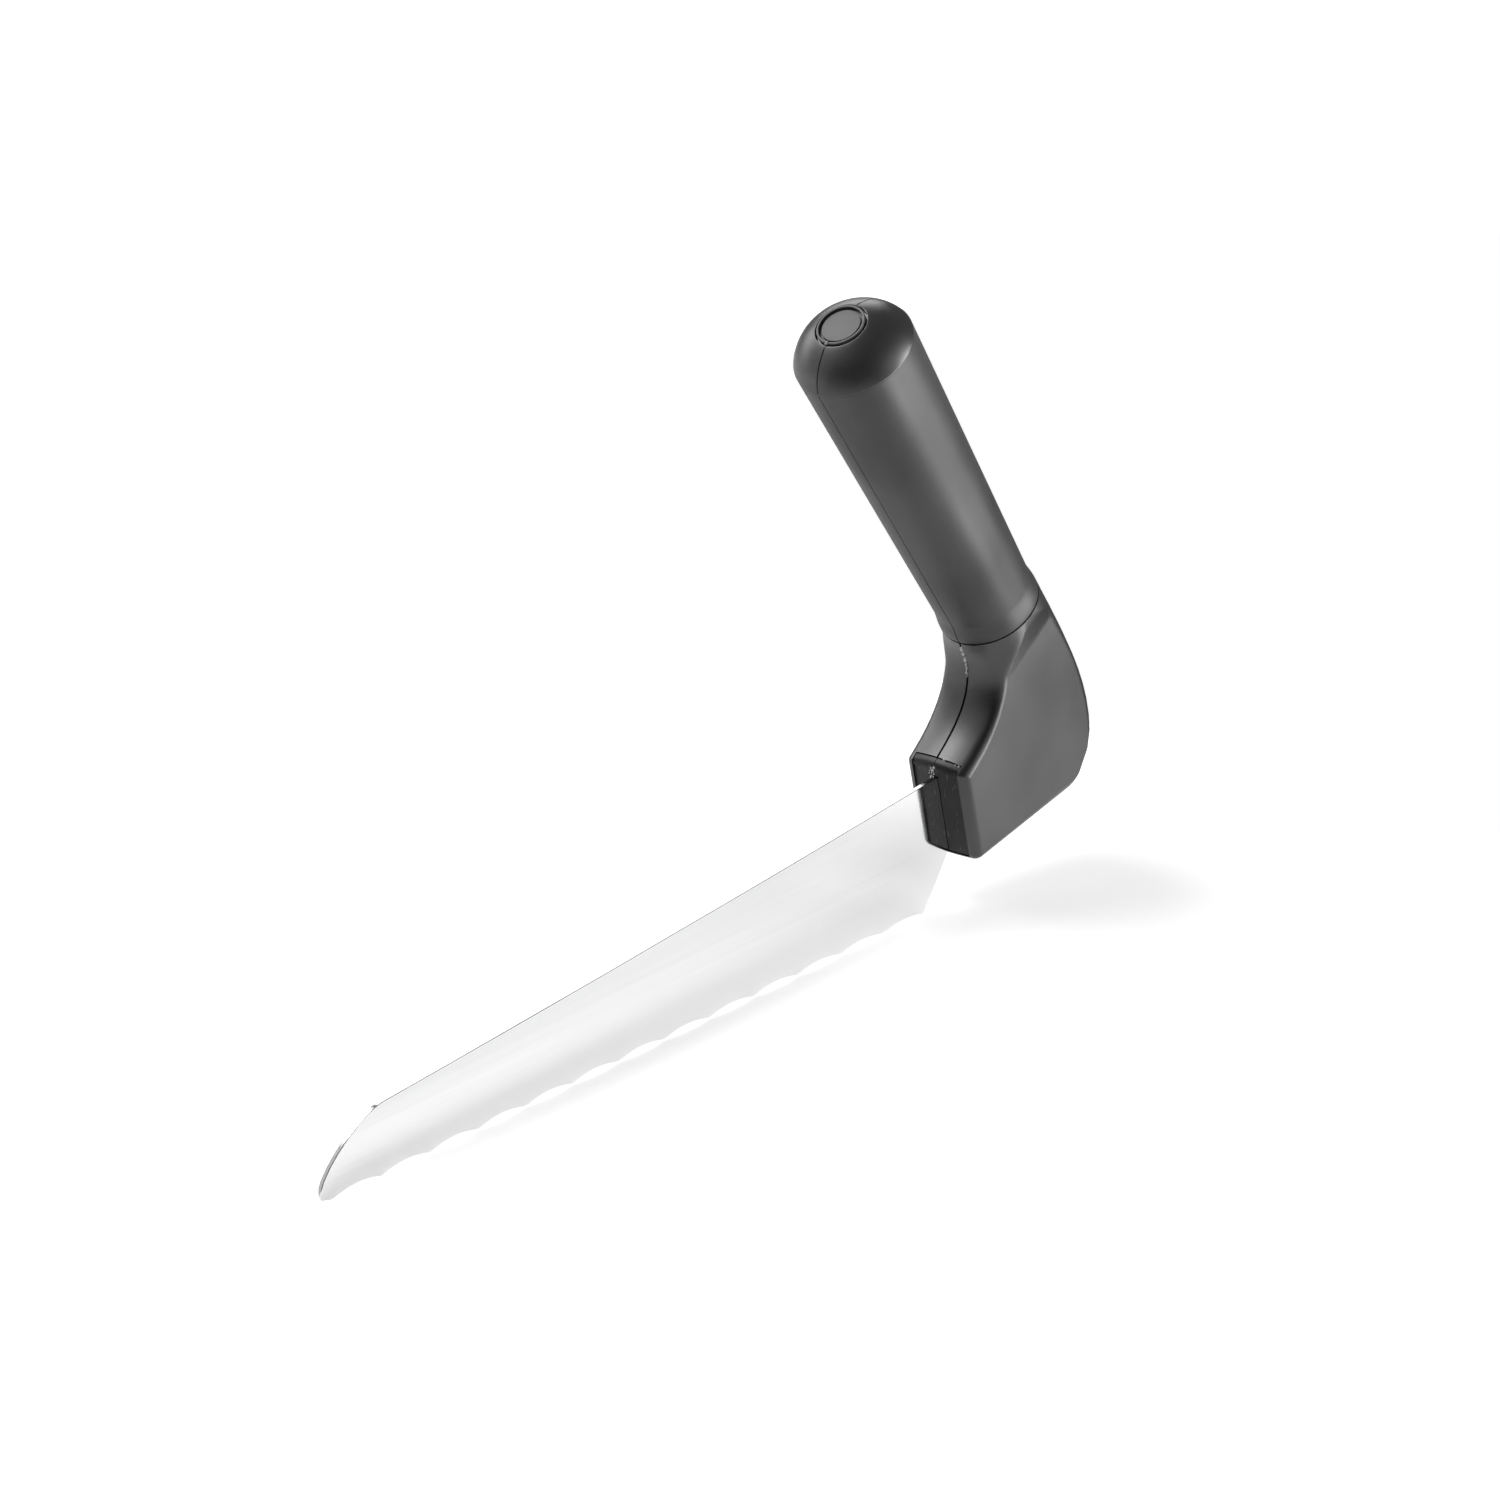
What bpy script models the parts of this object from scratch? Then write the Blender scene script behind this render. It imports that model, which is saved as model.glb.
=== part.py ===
"""Angled bread knife: a thin scalloped blade under an upright grip.

The blade stands in the XZ plane with its cutting edge down and its nose toward -X.
The grip rises from a moulded neck at the heel and leans forward over the blade.
All sizes are in metres. The origin is on the cutting line, midway along the knife.
Left is -Y and right is +Y, for a hand that holds the grip and points the nose ahead.
"""

from math import atan2, cos, pi, radians, sin, sqrt, tan

import bmesh
import bpy
from mathutils import Vector
from mathutils.geometry import interpolate_bezier

CLEARANCE = 0.0003

# Blade
BLADE_THICKNESS = 0.0012
SCALLOP_PITCH = 0.016
SCALLOP_COUNT = 13
SCALLOP_DEPTH = 0.00125
SCALLOP_STEPS = 8
GRIND_ANGLE = radians(20)
TIP_OVERHANG = 0.0039
TIP_HEIGHT = 0.0026
TIP_UNDERCUT = radians(15)
NOSE_LENGTH = 0.0208
NOSE_TIP_PULL = (0.115, 0.46)
NOSE_SHOULDER_PULL = (0.26, 0.03)
SHOULDER_HEIGHT = 0.0183
HEEL_HEIGHT = 0.0348
SPINE_SAG = 0.0006
HEEL_TRIM = 0.001
HEEL_LEAN = radians(35)

# Tang
TANG_LENGTH = 0.026
TANG_LIFT = 0.0046
RIVET_SHARES = (0.22, 0.74)
RIVET_RADIUS = 0.002
RIVET_HEAD_RADIUS = 0.0033
RIVET_HEAD_DEPTH = 0.0012

# Tang blocks
BLOCK_WIDTH = 0.0138
BLOCK_MARGIN = 0.0022
BLOCK_FLOOR = 0.0014
BLOCK_ROOF = 0.0034
BLOCK_LIP = 0.0022
BLOCK_LIP_DEPTH = 0.0026
BLOCK_BEAD_RADIUS = 0.002
BLOCK_BEAD_STEP = 0.0003
BLOCK_RECESS = 0.0002
BLOCK_STEPS = 6

# Neck
NECK_WIDTH = 0.0194
NECK_SETBACK = 0.0087
NECK_DEPTH = 0.046
NECK_CLEARANCE = 0.0127
NECK_FILLET = 0.0022
FRONT_HEIGHT = 0.0263
FRONT_CROWN = 0.056
FRONT_LEAN = radians(11.7)
FRONT_TOP_RADIUS = 0.0008
FRONT_BOTTOM_RADIUS = 0.002
UNDERSIDE_SLOPE = radians(12.3)
BACK_RADIUS = 0.015
THROAT_PULL = 0.0135
THROAT_END = radians(37)
THROAT_CROWN = 0.027
THROAT_FILLET = 0.0018
THROAT_FALL = radians(7)
BROW_CROWN = 0.029
BROW_RISE = radians(3)
BACK_PULL = 0.013
BACK_CROWN = 0.06
BACK_FALL = radians(14)
GROOVE_GAP = 0.0003
GROOVE_FLARE = 0.0002
GROOVE_DEPTH = 0.0009
SHOULDER_FALL = radians(3.5)
PEG_RADIUS = 0.0018
PEG_LENGTH = 0.0026

# Grip
GRIP_LEAN = radians(32)
COLLAR_SETBACK = 0.0163
COLLAR_HEIGHT = 0.0741
COLLAR_RADIUS = 0.0131
SLEEVE_LENGTH = 0.0938
SLEEVE_BASE_RADIUS = 0.0126
SLEEVE_TOP_RADIUS = 0.0152
SLEEVE_EDGE = 0.0005
SLEEVE_FLARE_LENGTH = 0.006
CORE_RADIUS = 0.0088
CORE_FOOT_RADIUS = 0.0055
CORE_FOOT_LENGTH = 0.024
CORE_BORE_RADIUS = 0.0058
CORE_BORE_DEPTH = 0.014
PIN_RADIUS = 0.0015
PIN_LENGTH = 0.0136
PIN_DEPTH = 0.014

# End cap and badge
CAP_DOME = 0.0095
CAP_SINK = 0.004
CAP_STEP = 0.0001
CAP_SPIGOT_LENGTH = 0.012
BADGE_RADIUS = 0.0062
BADGE_THICKNESS = 0.0009
BADGE_RIM_WIDTH = 0.0009
BADGE_RIM_HEIGHT = 0.0004

ROUND_STEPS = 48
HOLE_STEPS = 24
CORNER_STEPS = 6
WIDTH_STEPS = 10
REACH = 0.006

LENGTH = TIP_OVERHANG + SCALLOP_COUNT * SCALLOP_PITCH + NECK_SETBACK + NECK_DEPTH
FIRST_CUSP_X = TIP_OVERHANG - LENGTH / 2
LAST_CUSP_X = FIRST_CUSP_X + SCALLOP_COUNT * SCALLOP_PITCH
HALF_BLADE = BLADE_THICKNESS / 2
HALF_BLOCK = BLOCK_WIDTH / 2
HALF_NECK = NECK_WIDTH / 2
HALF_GAP = GROOVE_GAP / 2

UNDERSIDE = Vector((cos(UNDERSIDE_SLOPE), sin(UNDERSIDE_SLOPE)))
FRONT_UP = Vector((-sin(FRONT_LEAN), cos(FRONT_LEAN)))
FRONT_IN = Vector((cos(FRONT_LEAN), sin(FRONT_LEAN)))
FRONT_BOTTOM = Vector((LAST_CUSP_X + NECK_SETBACK, NECK_CLEARANCE))
FRONT_TOP = FRONT_BOTTOM + FRONT_UP * FRONT_HEIGHT
THROAT_OUT = Vector((cos(THROAT_END), sin(THROAT_END)))
THROAT_NORMAL = Vector((-sin(THROAT_END), cos(THROAT_END)))

GRIP_UP = Vector((-sin(GRIP_LEAN), cos(GRIP_LEAN)))
GRIP_ACROSS = Vector((cos(GRIP_LEAN), sin(GRIP_LEAN)))
COLLAR = Vector((FRONT_BOTTOM.x + COLLAR_SETBACK, COLLAR_HEIGHT))
SPIGOT_RADIUS = CORE_BORE_RADIUS - CLEARANCE
SLEEVE_BORE_RADIUS = CORE_RADIUS + CLEARANCE
CORE_TOP = SLEEVE_LENGTH - CLEARANCE


def clear_scene():
    """Remove whatever the scene holds."""
    for item in list(bpy.data.objects):
        bpy.data.objects.remove(item, do_unlink=True)


def new_collection(name):
    """Make a collection in the scene."""
    collection = bpy.data.collections.new(name)
    bpy.context.scene.collection.children.link(collection)
    return collection


def new_material(name, colour, roughness, metallic=0.0):
    """Make a plain Principled material."""
    finish = bpy.data.materials.new(name)
    finish.use_nodes = True
    shader = finish.node_tree.nodes["Principled BSDF"]
    shader.inputs["Base Color"].default_value = (*colour, 1.0)
    shader.inputs["Roughness"].default_value = roughness
    shader.inputs["Metallic"].default_value = metallic
    finish.diffuse_color = (*colour, 1.0)
    return finish


def steel(name):
    """Satin stainless steel."""
    return new_material(name, (0.72, 0.72, 0.73), 0.28, 1.0)


def hard_plastic(name):
    """Black moulded polypropylene."""
    return new_material(name, (0.03, 0.03, 0.031), 0.42)


def soft_rubber(name):
    """Black grip rubber, a little duller than the neck."""
    return new_material(name, (0.035, 0.035, 0.036), 0.55)


def add_object(name, mesh, finish, collection):
    """Put a mesh in a collection under a name."""
    item = bpy.data.objects.new(name, mesh)
    collection.objects.link(item)
    if finish:
        mesh.materials.append(finish)
    return item


def mark_cutter(item):
    """Show a cutter as a wire only."""
    item.hide_render = True
    item.display_type = "WIRE"
    return item


def cut(item, cutter, operation="DIFFERENCE"):
    """Cut one object by another, or join them."""
    step = item.modifiers.new(cutter.name, "BOOLEAN")
    step.operation = operation
    step.solver = "EXACT"
    step.object = cutter


def outline_solid(name, outline, low_y, high_y, finish, collection):
    """Extrude a closed outline of the XZ plane from low_y to high_y."""
    curve = bpy.data.curves.new(name, "CURVE")
    curve.dimensions = "2D"
    curve.fill_mode = "BOTH"
    curve.extrude = (high_y - low_y) / 2
    spline = curve.splines.new("POLY")
    spline.points.add(len(outline) - 1)
    for point, place in zip(spline.points, outline):
        point.co = (place.x, place.y, 0.0, 1.0)
    spline.use_cyclic_u = True
    guide = bpy.data.objects.new(name + "_outline", curve)
    guide.location = (0.0, (high_y + low_y) / 2, 0.0)
    guide.rotation_euler = (pi / 2, 0.0, 0.0)
    collection.objects.link(guide)
    bpy.context.view_layer.update()
    seen = guide.evaluated_get(bpy.context.evaluated_depsgraph_get())
    mesh = bpy.data.meshes.new_from_object(seen)
    mesh.name = name
    mesh.materials.clear()
    shell = bmesh.new()
    shell.from_mesh(mesh)
    bmesh.ops.remove_doubles(shell, verts=shell.verts, dist=0.000001)
    shell.to_mesh(mesh)
    shell.free()
    item = add_object(name, mesh, finish, collection)
    item.matrix_world = guide.matrix_world
    bpy.data.objects.remove(guide)
    return item


def lofted(name, loops, one_wall, finish, collection):
    """Skin a row of loops. Their closing edges make a strip of faces, or one flat wall."""
    shell = bmesh.new()
    rows = [[shell.verts.new(place) for place in loop] for loop in loops]
    count = len(rows[0])
    for upper, lower in zip(rows, rows[1:]):
        for index in range(count - 1 if one_wall else count):
            after = (index + 1) % count
            shell.faces.new((upper[index], upper[after], lower[after], lower[index]))
    shell.faces.new(rows[0])
    shell.faces.new(rows[-1])
    if one_wall:
        shell.faces.new([row[0] for row in rows] + [row[-1] for row in reversed(rows)])
    bmesh.ops.recalc_face_normals(shell, faces=shell.faces)
    strips = [face for face in shell.faces if len(face.verts) == 4]
    bmesh.ops.triangulate(shell, faces=strips)
    mesh = bpy.data.meshes.new(name)
    shell.to_mesh(mesh)
    shell.free()
    return add_object(name, mesh, finish, collection)


def turned(name, profile, closed, finish, collection):
    """Turn a profile of (radius, height) points about its own Z axis."""
    mesh = bpy.data.meshes.new(name)
    edges = [(index, index + 1) for index in range(len(profile) - 1)]
    if closed:
        edges.append((len(profile) - 1, 0))
    mesh.from_pydata([(radius, 0.0, height) for radius, height in profile], edges, [])
    item = add_object(name, mesh, finish, collection)
    spin = item.modifiers.new("turn", "SCREW")
    spin.steps = ROUND_STEPS
    spin.render_steps = ROUND_STEPS
    spin.use_merge_vertices = True
    spin.merge_threshold = 0.00001
    spin.use_smooth_shade = True
    return item


def along_grip(item):
    """Stand a turned piece on the collar, along the axis of the grip."""
    item.location = (COLLAR.x, 0.0, COLLAR.y)
    item.rotation_euler = (0.0, -GRIP_LEAN, 0.0)
    return item


def across_knife(item, place):
    """Lay a turned piece across the knife, through a point of the XZ plane."""
    item.location = (place.x, 0.0, place.y)
    item.rotation_euler = (-pi / 2, 0.0, 0.0)
    return item


def round_cutter(name, place, radius, low_y, high_y, collection):
    """A cylinder across the knife, to cut a hole or to stand as a peg."""
    bpy.ops.mesh.primitive_cylinder_add(
        vertices=HOLE_STEPS,
        radius=radius,
        depth=high_y - low_y,
        location=(place.x, (low_y + high_y) / 2, place.y),
        rotation=(pi / 2, 0.0, 0.0),
    )
    item = bpy.context.object
    item.name = name
    for holder in list(item.users_collection):
        holder.objects.unlink(item)
    collection.objects.link(item)
    return mark_cutter(item)


def rounded_corner(corner, toward_start, toward_end, radius, steps):
    """Points of the arc that rounds a corner between two directions."""
    half = toward_start.angle(toward_end) / 2
    middle = (toward_start + toward_end).normalized()
    centre = corner + middle * (radius / sin(half))
    first = corner + toward_start * (radius / tan(half)) - centre
    last = corner + toward_end * (radius / tan(half)) - centre
    turn = first.angle(last)
    points = []
    for index in range(steps + 1):
        share = index / steps
        spoke = first * sin((1 - share) * turn) + last * sin(share * turn)
        points.append(centre + spoke / sin(turn))
    return points


def spine_height(x):
    """Height of the spine: a straight rise with a slight sag."""
    start = FIRST_CUSP_X - TIP_OVERHANG + NOSE_LENGTH
    share = (x - start) / (FRONT_TOP.x - start)
    rise = SHOULDER_HEIGHT + (HEEL_HEIGHT - SHOULDER_HEIGHT) * share
    return rise - 4 * SPINE_SAG * share * (1 - share)


def underside_height(x, lift):
    """Height of a line that runs a given lift over the neck's underside."""
    return NECK_CLEARANCE + tan(UNDERSIDE_SLOPE) * (x - FRONT_BOTTOM.x) + lift


def tang_corners(grow):
    """Corners of the tang, grown by a clearance, from its top front round to the heel."""
    front = FRONT_TOP.x - REACH
    rear = FRONT_TOP.x + BLOCK_MARGIN + TANG_LENGTH + grow
    run = tan(HEEL_LEAN)
    heel_x = LAST_CUSP_X - HEEL_TRIM + grow / cos(HEEL_LEAN)
    slope = tan(UNDERSIDE_SLOPE)
    low = (underside_height(heel_x, TANG_LIFT) - grow) / (1 - slope * run)
    return (
        Vector((front, HEEL_HEIGHT + grow)),
        Vector((rear, HEEL_HEIGHT + grow)),
        Vector((rear, underside_height(rear, TANG_LIFT) - grow)),
        Vector((heel_x + low * run, low)),
        Vector((heel_x, 0.0)),
    )


def blade_outline():
    """Outline of the blank, before its edge is ground."""
    tip = Vector((FIRST_CUSP_X - TIP_OVERHANG, TIP_HEIGHT))
    shoulder_x = tip.x + NOSE_LENGTH
    shoulder = Vector((shoulder_x, spine_height(shoulder_x)))
    rise = shoulder.y - tip.y
    nose = interpolate_bezier(
        tip,
        tip + Vector((NOSE_LENGTH * NOSE_TIP_PULL[0], rise * NOSE_TIP_PULL[1])),
        shoulder - Vector((NOSE_LENGTH * NOSE_SHOULDER_PULL[0], rise * NOSE_SHOULDER_PULL[1])),
        shoulder,
        9,
    )
    spine_steps = 8
    spine = []
    for index in range(1, spine_steps + 1):
        x = shoulder_x + (FRONT_TOP.x - shoulder_x) * index / spine_steps
        spine.append(Vector((x, spine_height(x))))
    _, top_rear, bottom_rear, bottom_front, heel = tang_corners(0.0)
    below = -SCALLOP_DEPTH
    heel += Vector((tan(HEEL_LEAN), 1.0)) * below
    under_tip = Vector((tip.x, below))
    return [*nose, *spine, top_rear, bottom_rear, bottom_front, heel, under_tip]


def scallop_outline():
    """Outline of the grinding cut: a row of shallow arcs between sharp cusps."""
    half = SCALLOP_PITCH / 2
    radius = (half * half + SCALLOP_DEPTH * SCALLOP_DEPTH) / (2 * SCALLOP_DEPTH)
    out = TIP_OVERHANG + REACH
    points = [Vector((FIRST_CUSP_X - out, out * tan(TIP_UNDERCUT)))]
    for scallop in range(SCALLOP_COUNT):
        middle = FIRST_CUSP_X + (scallop + 0.5) * SCALLOP_PITCH
        for index in range(SCALLOP_STEPS):
            offset = -half + SCALLOP_PITCH * index / SCALLOP_STEPS
            rise = sqrt(radius * radius - offset * offset) - radius + SCALLOP_DEPTH
            points.append(Vector((middle + offset, rise)))
    points.append(Vector((LAST_CUSP_X, 0.0)))
    points.append(Vector((LAST_CUSP_X + REACH, 0.0)))
    deep = -4 * REACH
    points.append(Vector((LAST_CUSP_X + REACH, deep)))
    points.append(Vector((FIRST_CUSP_X - out, deep)))
    return points


def rivet_places():
    """Centres of the two tang rivets, midway up the tang."""
    places = []
    _, top_rear, bottom_rear, bottom_front, _ = tang_corners(0.0)
    for share in RIVET_SHARES:
        x = bottom_front.x + (bottom_rear.x - bottom_front.x) * share
        low = underside_height(x, TANG_LIFT)
        places.append(Vector((x, (low + top_rear.y) / 2)))
    return places


def make_blade(parts, cutters):
    """Stainless blade, ground on its right side only, with a riveted tang."""
    blade = outline_solid(
        "blade", blade_outline(), -HALF_BLADE, HALF_BLADE, steel("blade"), parts
    )
    grind = outline_solid(
        "scallop_grind", scallop_outline(), -BLADE_THICKNESS, BLADE_THICKNESS, None, cutters
    )
    lean = 1 / tan(GRIND_ANGLE)
    for vertex in grind.data.vertices:
        vertex.co.y += (HALF_BLADE - vertex.co.z) * lean
    cut(blade, mark_cutter(grind))
    for index, place in enumerate(rivet_places()):
        hole = round_cutter(
            f"tang_hole_{index}",
            place,
            RIVET_RADIUS + CLEARANCE,
            -BLADE_THICKNESS,
            BLADE_THICKNESS,
            cutters,
        )
        cut(blade, hole)


def fall_back(out, half_width, crown, fillet):
    """How far a crowned face with filleted edges lies back, this far from the middle."""
    over = max(out - half_width + fillet, 0.0)
    dish = crown - sqrt(max(crown * crown - out * out, 0.0))
    return dish + fillet - sqrt(max(fillet * fillet - over * over, 0.0))


def front_corners(throat_drop, front_drop):
    """Top and bottom of the front face where throat and front lie back by these amounts."""
    back = THROAT_OUT * (front_drop / THROAT_OUT.dot(FRONT_IN))
    down = FRONT_UP * (throat_drop / FRONT_UP.dot(THROAT_NORMAL))
    along = UNDERSIDE * (front_drop / UNDERSIDE.dot(FRONT_IN))
    return FRONT_TOP + back - down, FRONT_BOTTOM + along


def block_outline(out):
    """Side outline of a tang block this far from the middle, with a bead along its top edge."""
    rear = tang_corners(0.0)[1].x + BLOCK_MARGIN
    throat_drop = fall_back(out, HALF_NECK, BROW_CROWN, 0.0) + BLOCK_RECESS
    front_drop = fall_back(out, HALF_NECK, FRONT_CROWN, 0.0) + BLOCK_RECESS
    top = front_corners(throat_drop, front_drop)[0]
    bottom = front_corners(throat_drop, front_drop + BLOCK_BEAD_STEP)[1]
    low = bottom + FRONT_UP * (BLOCK_FLOOR / cos(UNDERSIDE_SLOPE - FRONT_LEAN))
    bead = rounded_corner(top, -FRONT_UP, THROAT_OUT, BLOCK_BEAD_RADIUS, CORNER_STEPS)
    ledge = bead[0] + FRONT_IN * BLOCK_BEAD_STEP
    lip = FRONT_TOP + THROAT_OUT * BLOCK_LIP - THROAT_NORMAL * throat_drop
    notch = lip - THROAT_NORMAL * (BLOCK_RECESS + BLOCK_LIP_DEPTH - throat_drop)
    roof = Vector((rear, HEEL_HEIGHT + BLOCK_ROOF))
    floor = Vector((rear, underside_height(rear, BLOCK_FLOOR / cos(UNDERSIDE_SLOPE))))
    return [low, ledge, *bead, lip, notch, roof, floor]


def pocket_outline():
    """Side outline of the pocket for the blocks, open at the neck's front."""
    rear = tang_corners(0.0)[1].x + BLOCK_MARGIN + CLEARANCE
    lift = (BLOCK_FLOOR - CLEARANCE) / cos(UNDERSIDE_SLOPE)
    ahead = FRONT_TOP.x - REACH
    top = FRONT_TOP - THROAT_NORMAL * BLOCK_RECESS
    lip = top + THROAT_OUT * (BLOCK_LIP + CLEARANCE)
    notch = lip - THROAT_NORMAL * (BLOCK_LIP_DEPTH - CLEARANCE)
    above = lip + THROAT_NORMAL * REACH
    return [
        Vector((ahead, underside_height(ahead, lift))),
        Vector((ahead, above.y)),
        above,
        notch,
        Vector((rear, HEEL_HEIGHT + BLOCK_ROOF + CLEARANCE)),
        Vector((rear, underside_height(rear, lift))),
    ]


def make_tang_seat(cutters):
    """Room for the tang and the blade's heel, grown by a clearance."""
    low = -HALF_BLADE - CLEARANCE
    seat = outline_solid("tang_seat", tang_corners(CLEARANCE), low, -low, None, cutters)
    return mark_cutter(seat)


def make_tang_block(side, name, seat, parts, cutters):
    """One of the two blocks that clamp the tang inside the neck."""
    loops = []
    for index in range(BLOCK_STEPS + 1):
        out = CLEARANCE + (HALF_BLOCK - CLEARANCE) * index / BLOCK_STEPS
        loops.append([(place.x, side * out, place.y) for place in block_outline(out)])
    block = lofted(name, loops, False, hard_plastic(name), parts)
    cut(block, seat)
    for index, place in enumerate(rivet_places()):
        cut(block, rivet_cutter(f"{name}_rivet_{index}", place, cutters))


def rivet_cutter(name, place, cutters):
    """Room for a rivet: its shank and heads, grown by a clearance and open outward."""
    outside = HALF_BLOCK + 2 * CLEARANCE
    seat = HALF_BLOCK - RIVET_HEAD_DEPTH - 2 * CLEARANCE
    head = RIVET_HEAD_RADIUS + CLEARANCE
    shank = RIVET_RADIUS + CLEARANCE
    profile = [(0.0, outside), (head, outside), (head, seat), (shank, seat)]
    profile += [(radius, -height) for radius, height in reversed(profile)]
    return mark_cutter(across_knife(turned(name, profile, False, None, cutters), place))


def make_rivet(name, place, parts):
    """A tang rivet with a flat head at each end."""
    top = HALF_BLOCK - CLEARANCE
    under = top - RIVET_HEAD_DEPTH
    bevel = RIVET_HEAD_DEPTH / 4
    profile = [
        (0.0, top),
        (RIVET_HEAD_RADIUS - bevel, top),
        (RIVET_HEAD_RADIUS, top - bevel),
        (RIVET_HEAD_RADIUS, under),
        (RIVET_RADIUS, under),
        (RIVET_RADIUS, -under),
        (RIVET_HEAD_RADIUS, -under),
        (RIVET_HEAD_RADIUS, bevel - top),
        (RIVET_HEAD_RADIUS - bevel, -top),
        (0.0, -top),
    ]
    across_knife(turned(name, profile, False, steel(name), parts), place)


def back_chain():
    """Back of the neck, from the collar down and round to the underside."""
    collar_back = COLLAR + GRIP_ACROSS * COLLAR_RADIUS
    centre_x = FRONT_BOTTOM.x + NECK_DEPTH - BACK_RADIUS
    touch_x = centre_x + BACK_RADIUS * sin(UNDERSIDE_SLOPE)
    centre_z = underside_height(touch_x, 0.0) + BACK_RADIUS * cos(UNDERSIDE_SLOPE)
    centre = Vector((centre_x, centre_z))
    widest = centre + Vector((BACK_RADIUS, 0.0))
    chain = interpolate_bezier(
        collar_back,
        collar_back - GRIP_UP * BACK_PULL,
        widest + Vector((0.0, BACK_PULL)),
        widest,
        24,
    )
    turn = pi / 2 - UNDERSIDE_SLOPE
    steps = 16
    for index in range(1, steps + 1):
        angle = -turn * index / steps
        chain.append(centre + Vector((cos(angle), sin(angle))) * BACK_RADIUS)
    return chain


def front_chain(throat_drop, front_drop):
    """Throat and front face from the collar down, lying back by these amounts."""
    top, bottom = front_corners(throat_drop, front_drop)
    collar_front = COLLAR - GRIP_ACROSS * (COLLAR_RADIUS - throat_drop)
    round_top = rounded_corner(top, THROAT_OUT, -FRONT_UP, FRONT_TOP_RADIUS, 4)
    round_low = rounded_corner(bottom, FRONT_UP, UNDERSIDE, FRONT_BOTTOM_RADIUS, 8)
    throat = interpolate_bezier(
        collar_front,
        collar_front - GRIP_UP * THROAT_PULL,
        round_top[0] + THROAT_OUT * THROAT_PULL,
        round_top[0],
        24,
    )
    return [*throat[:-1], *round_top, *round_low]


def fan_pivot():
    """Point where the line of the collar meets the line of the underside."""
    span = FRONT_BOTTOM - COLLAR
    across = GRIP_ACROSS
    share = (span.x * UNDERSIDE.y - span.y * UNDERSIDE.x) / (
        across.x * UNDERSIDE.y - across.y * UNDERSIDE.x
    )
    return COLLAR + across * share


def fan_angle(pivot, point):
    """Angle of a point seen from the pivot."""
    return atan2(point.y - pivot.y, point.x - pivot.x)


def fan_hit(pivot, chain, angle):
    """Distance from the pivot at which a ray at this angle meets a chain of points."""
    angles = [fan_angle(pivot, point) for point in chain]
    for index in range(len(chain) - 1):
        high, low = angles[index], angles[index + 1]
        if high >= angle >= low and high > low:
            share = (high - angle) / (high - low)
            return (chain[index].lerp(chain[index + 1], share) - pivot).length
    nearest = chain[0] if angle > angles[0] else chain[-1]
    return (nearest - pivot).length


def smooth_share(share):
    """Ease from 0 to 1."""
    share = min(max(share, 0.0), 1.0)
    return share * share * (3 - 2 * share)


def eased(start, end, share):
    """Ease from a start value to an end value."""
    return start + (end - start) * smooth_share(share)


def neck_point(pivot, angle, out, half_width, edging, stops):
    """Front and back of a section this far from the middle, with its share of the fillets."""
    collar_angle, top_angle, under_angle = stops
    below = collar_angle - angle
    throat_bend = eased(1 / COLLAR_RADIUS, 1 / THROAT_CROWN, below / THROAT_FALL)
    throat_crown = 1 / eased(1 / BROW_CROWN, throat_bend, (angle - top_angle) / BROW_RISE)
    back_crown = 1 / eased(1 / COLLAR_RADIUS, 1 / BACK_CROWN, below / BACK_FALL)
    throat_drop = fall_back(out, half_width, throat_crown, THROAT_FILLET * edging)
    front_drop = fall_back(out, half_width, FRONT_CROWN, NECK_FILLET * edging)
    chain = front_chain(throat_drop, front_drop)
    slide = fan_angle(pivot, front_corners(throat_drop, front_drop)[0]) - top_angle
    if angle > top_angle:
        slide *= below / (collar_angle - top_angle)
    else:
        slide *= max(angle - under_angle, 0.0) / (top_angle - under_angle)
    turned_angle = angle + slide
    near = fan_hit(pivot, chain, turned_angle)
    back_drop = fall_back(out, half_width, back_crown, NECK_FILLET * edging)
    far = fan_hit(pivot, back_chain(), angle) - back_drop
    front = pivot + Vector((cos(turned_angle), sin(turned_angle))) * near
    back = pivot + Vector((cos(angle), sin(angle))) * far
    return front, back


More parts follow.
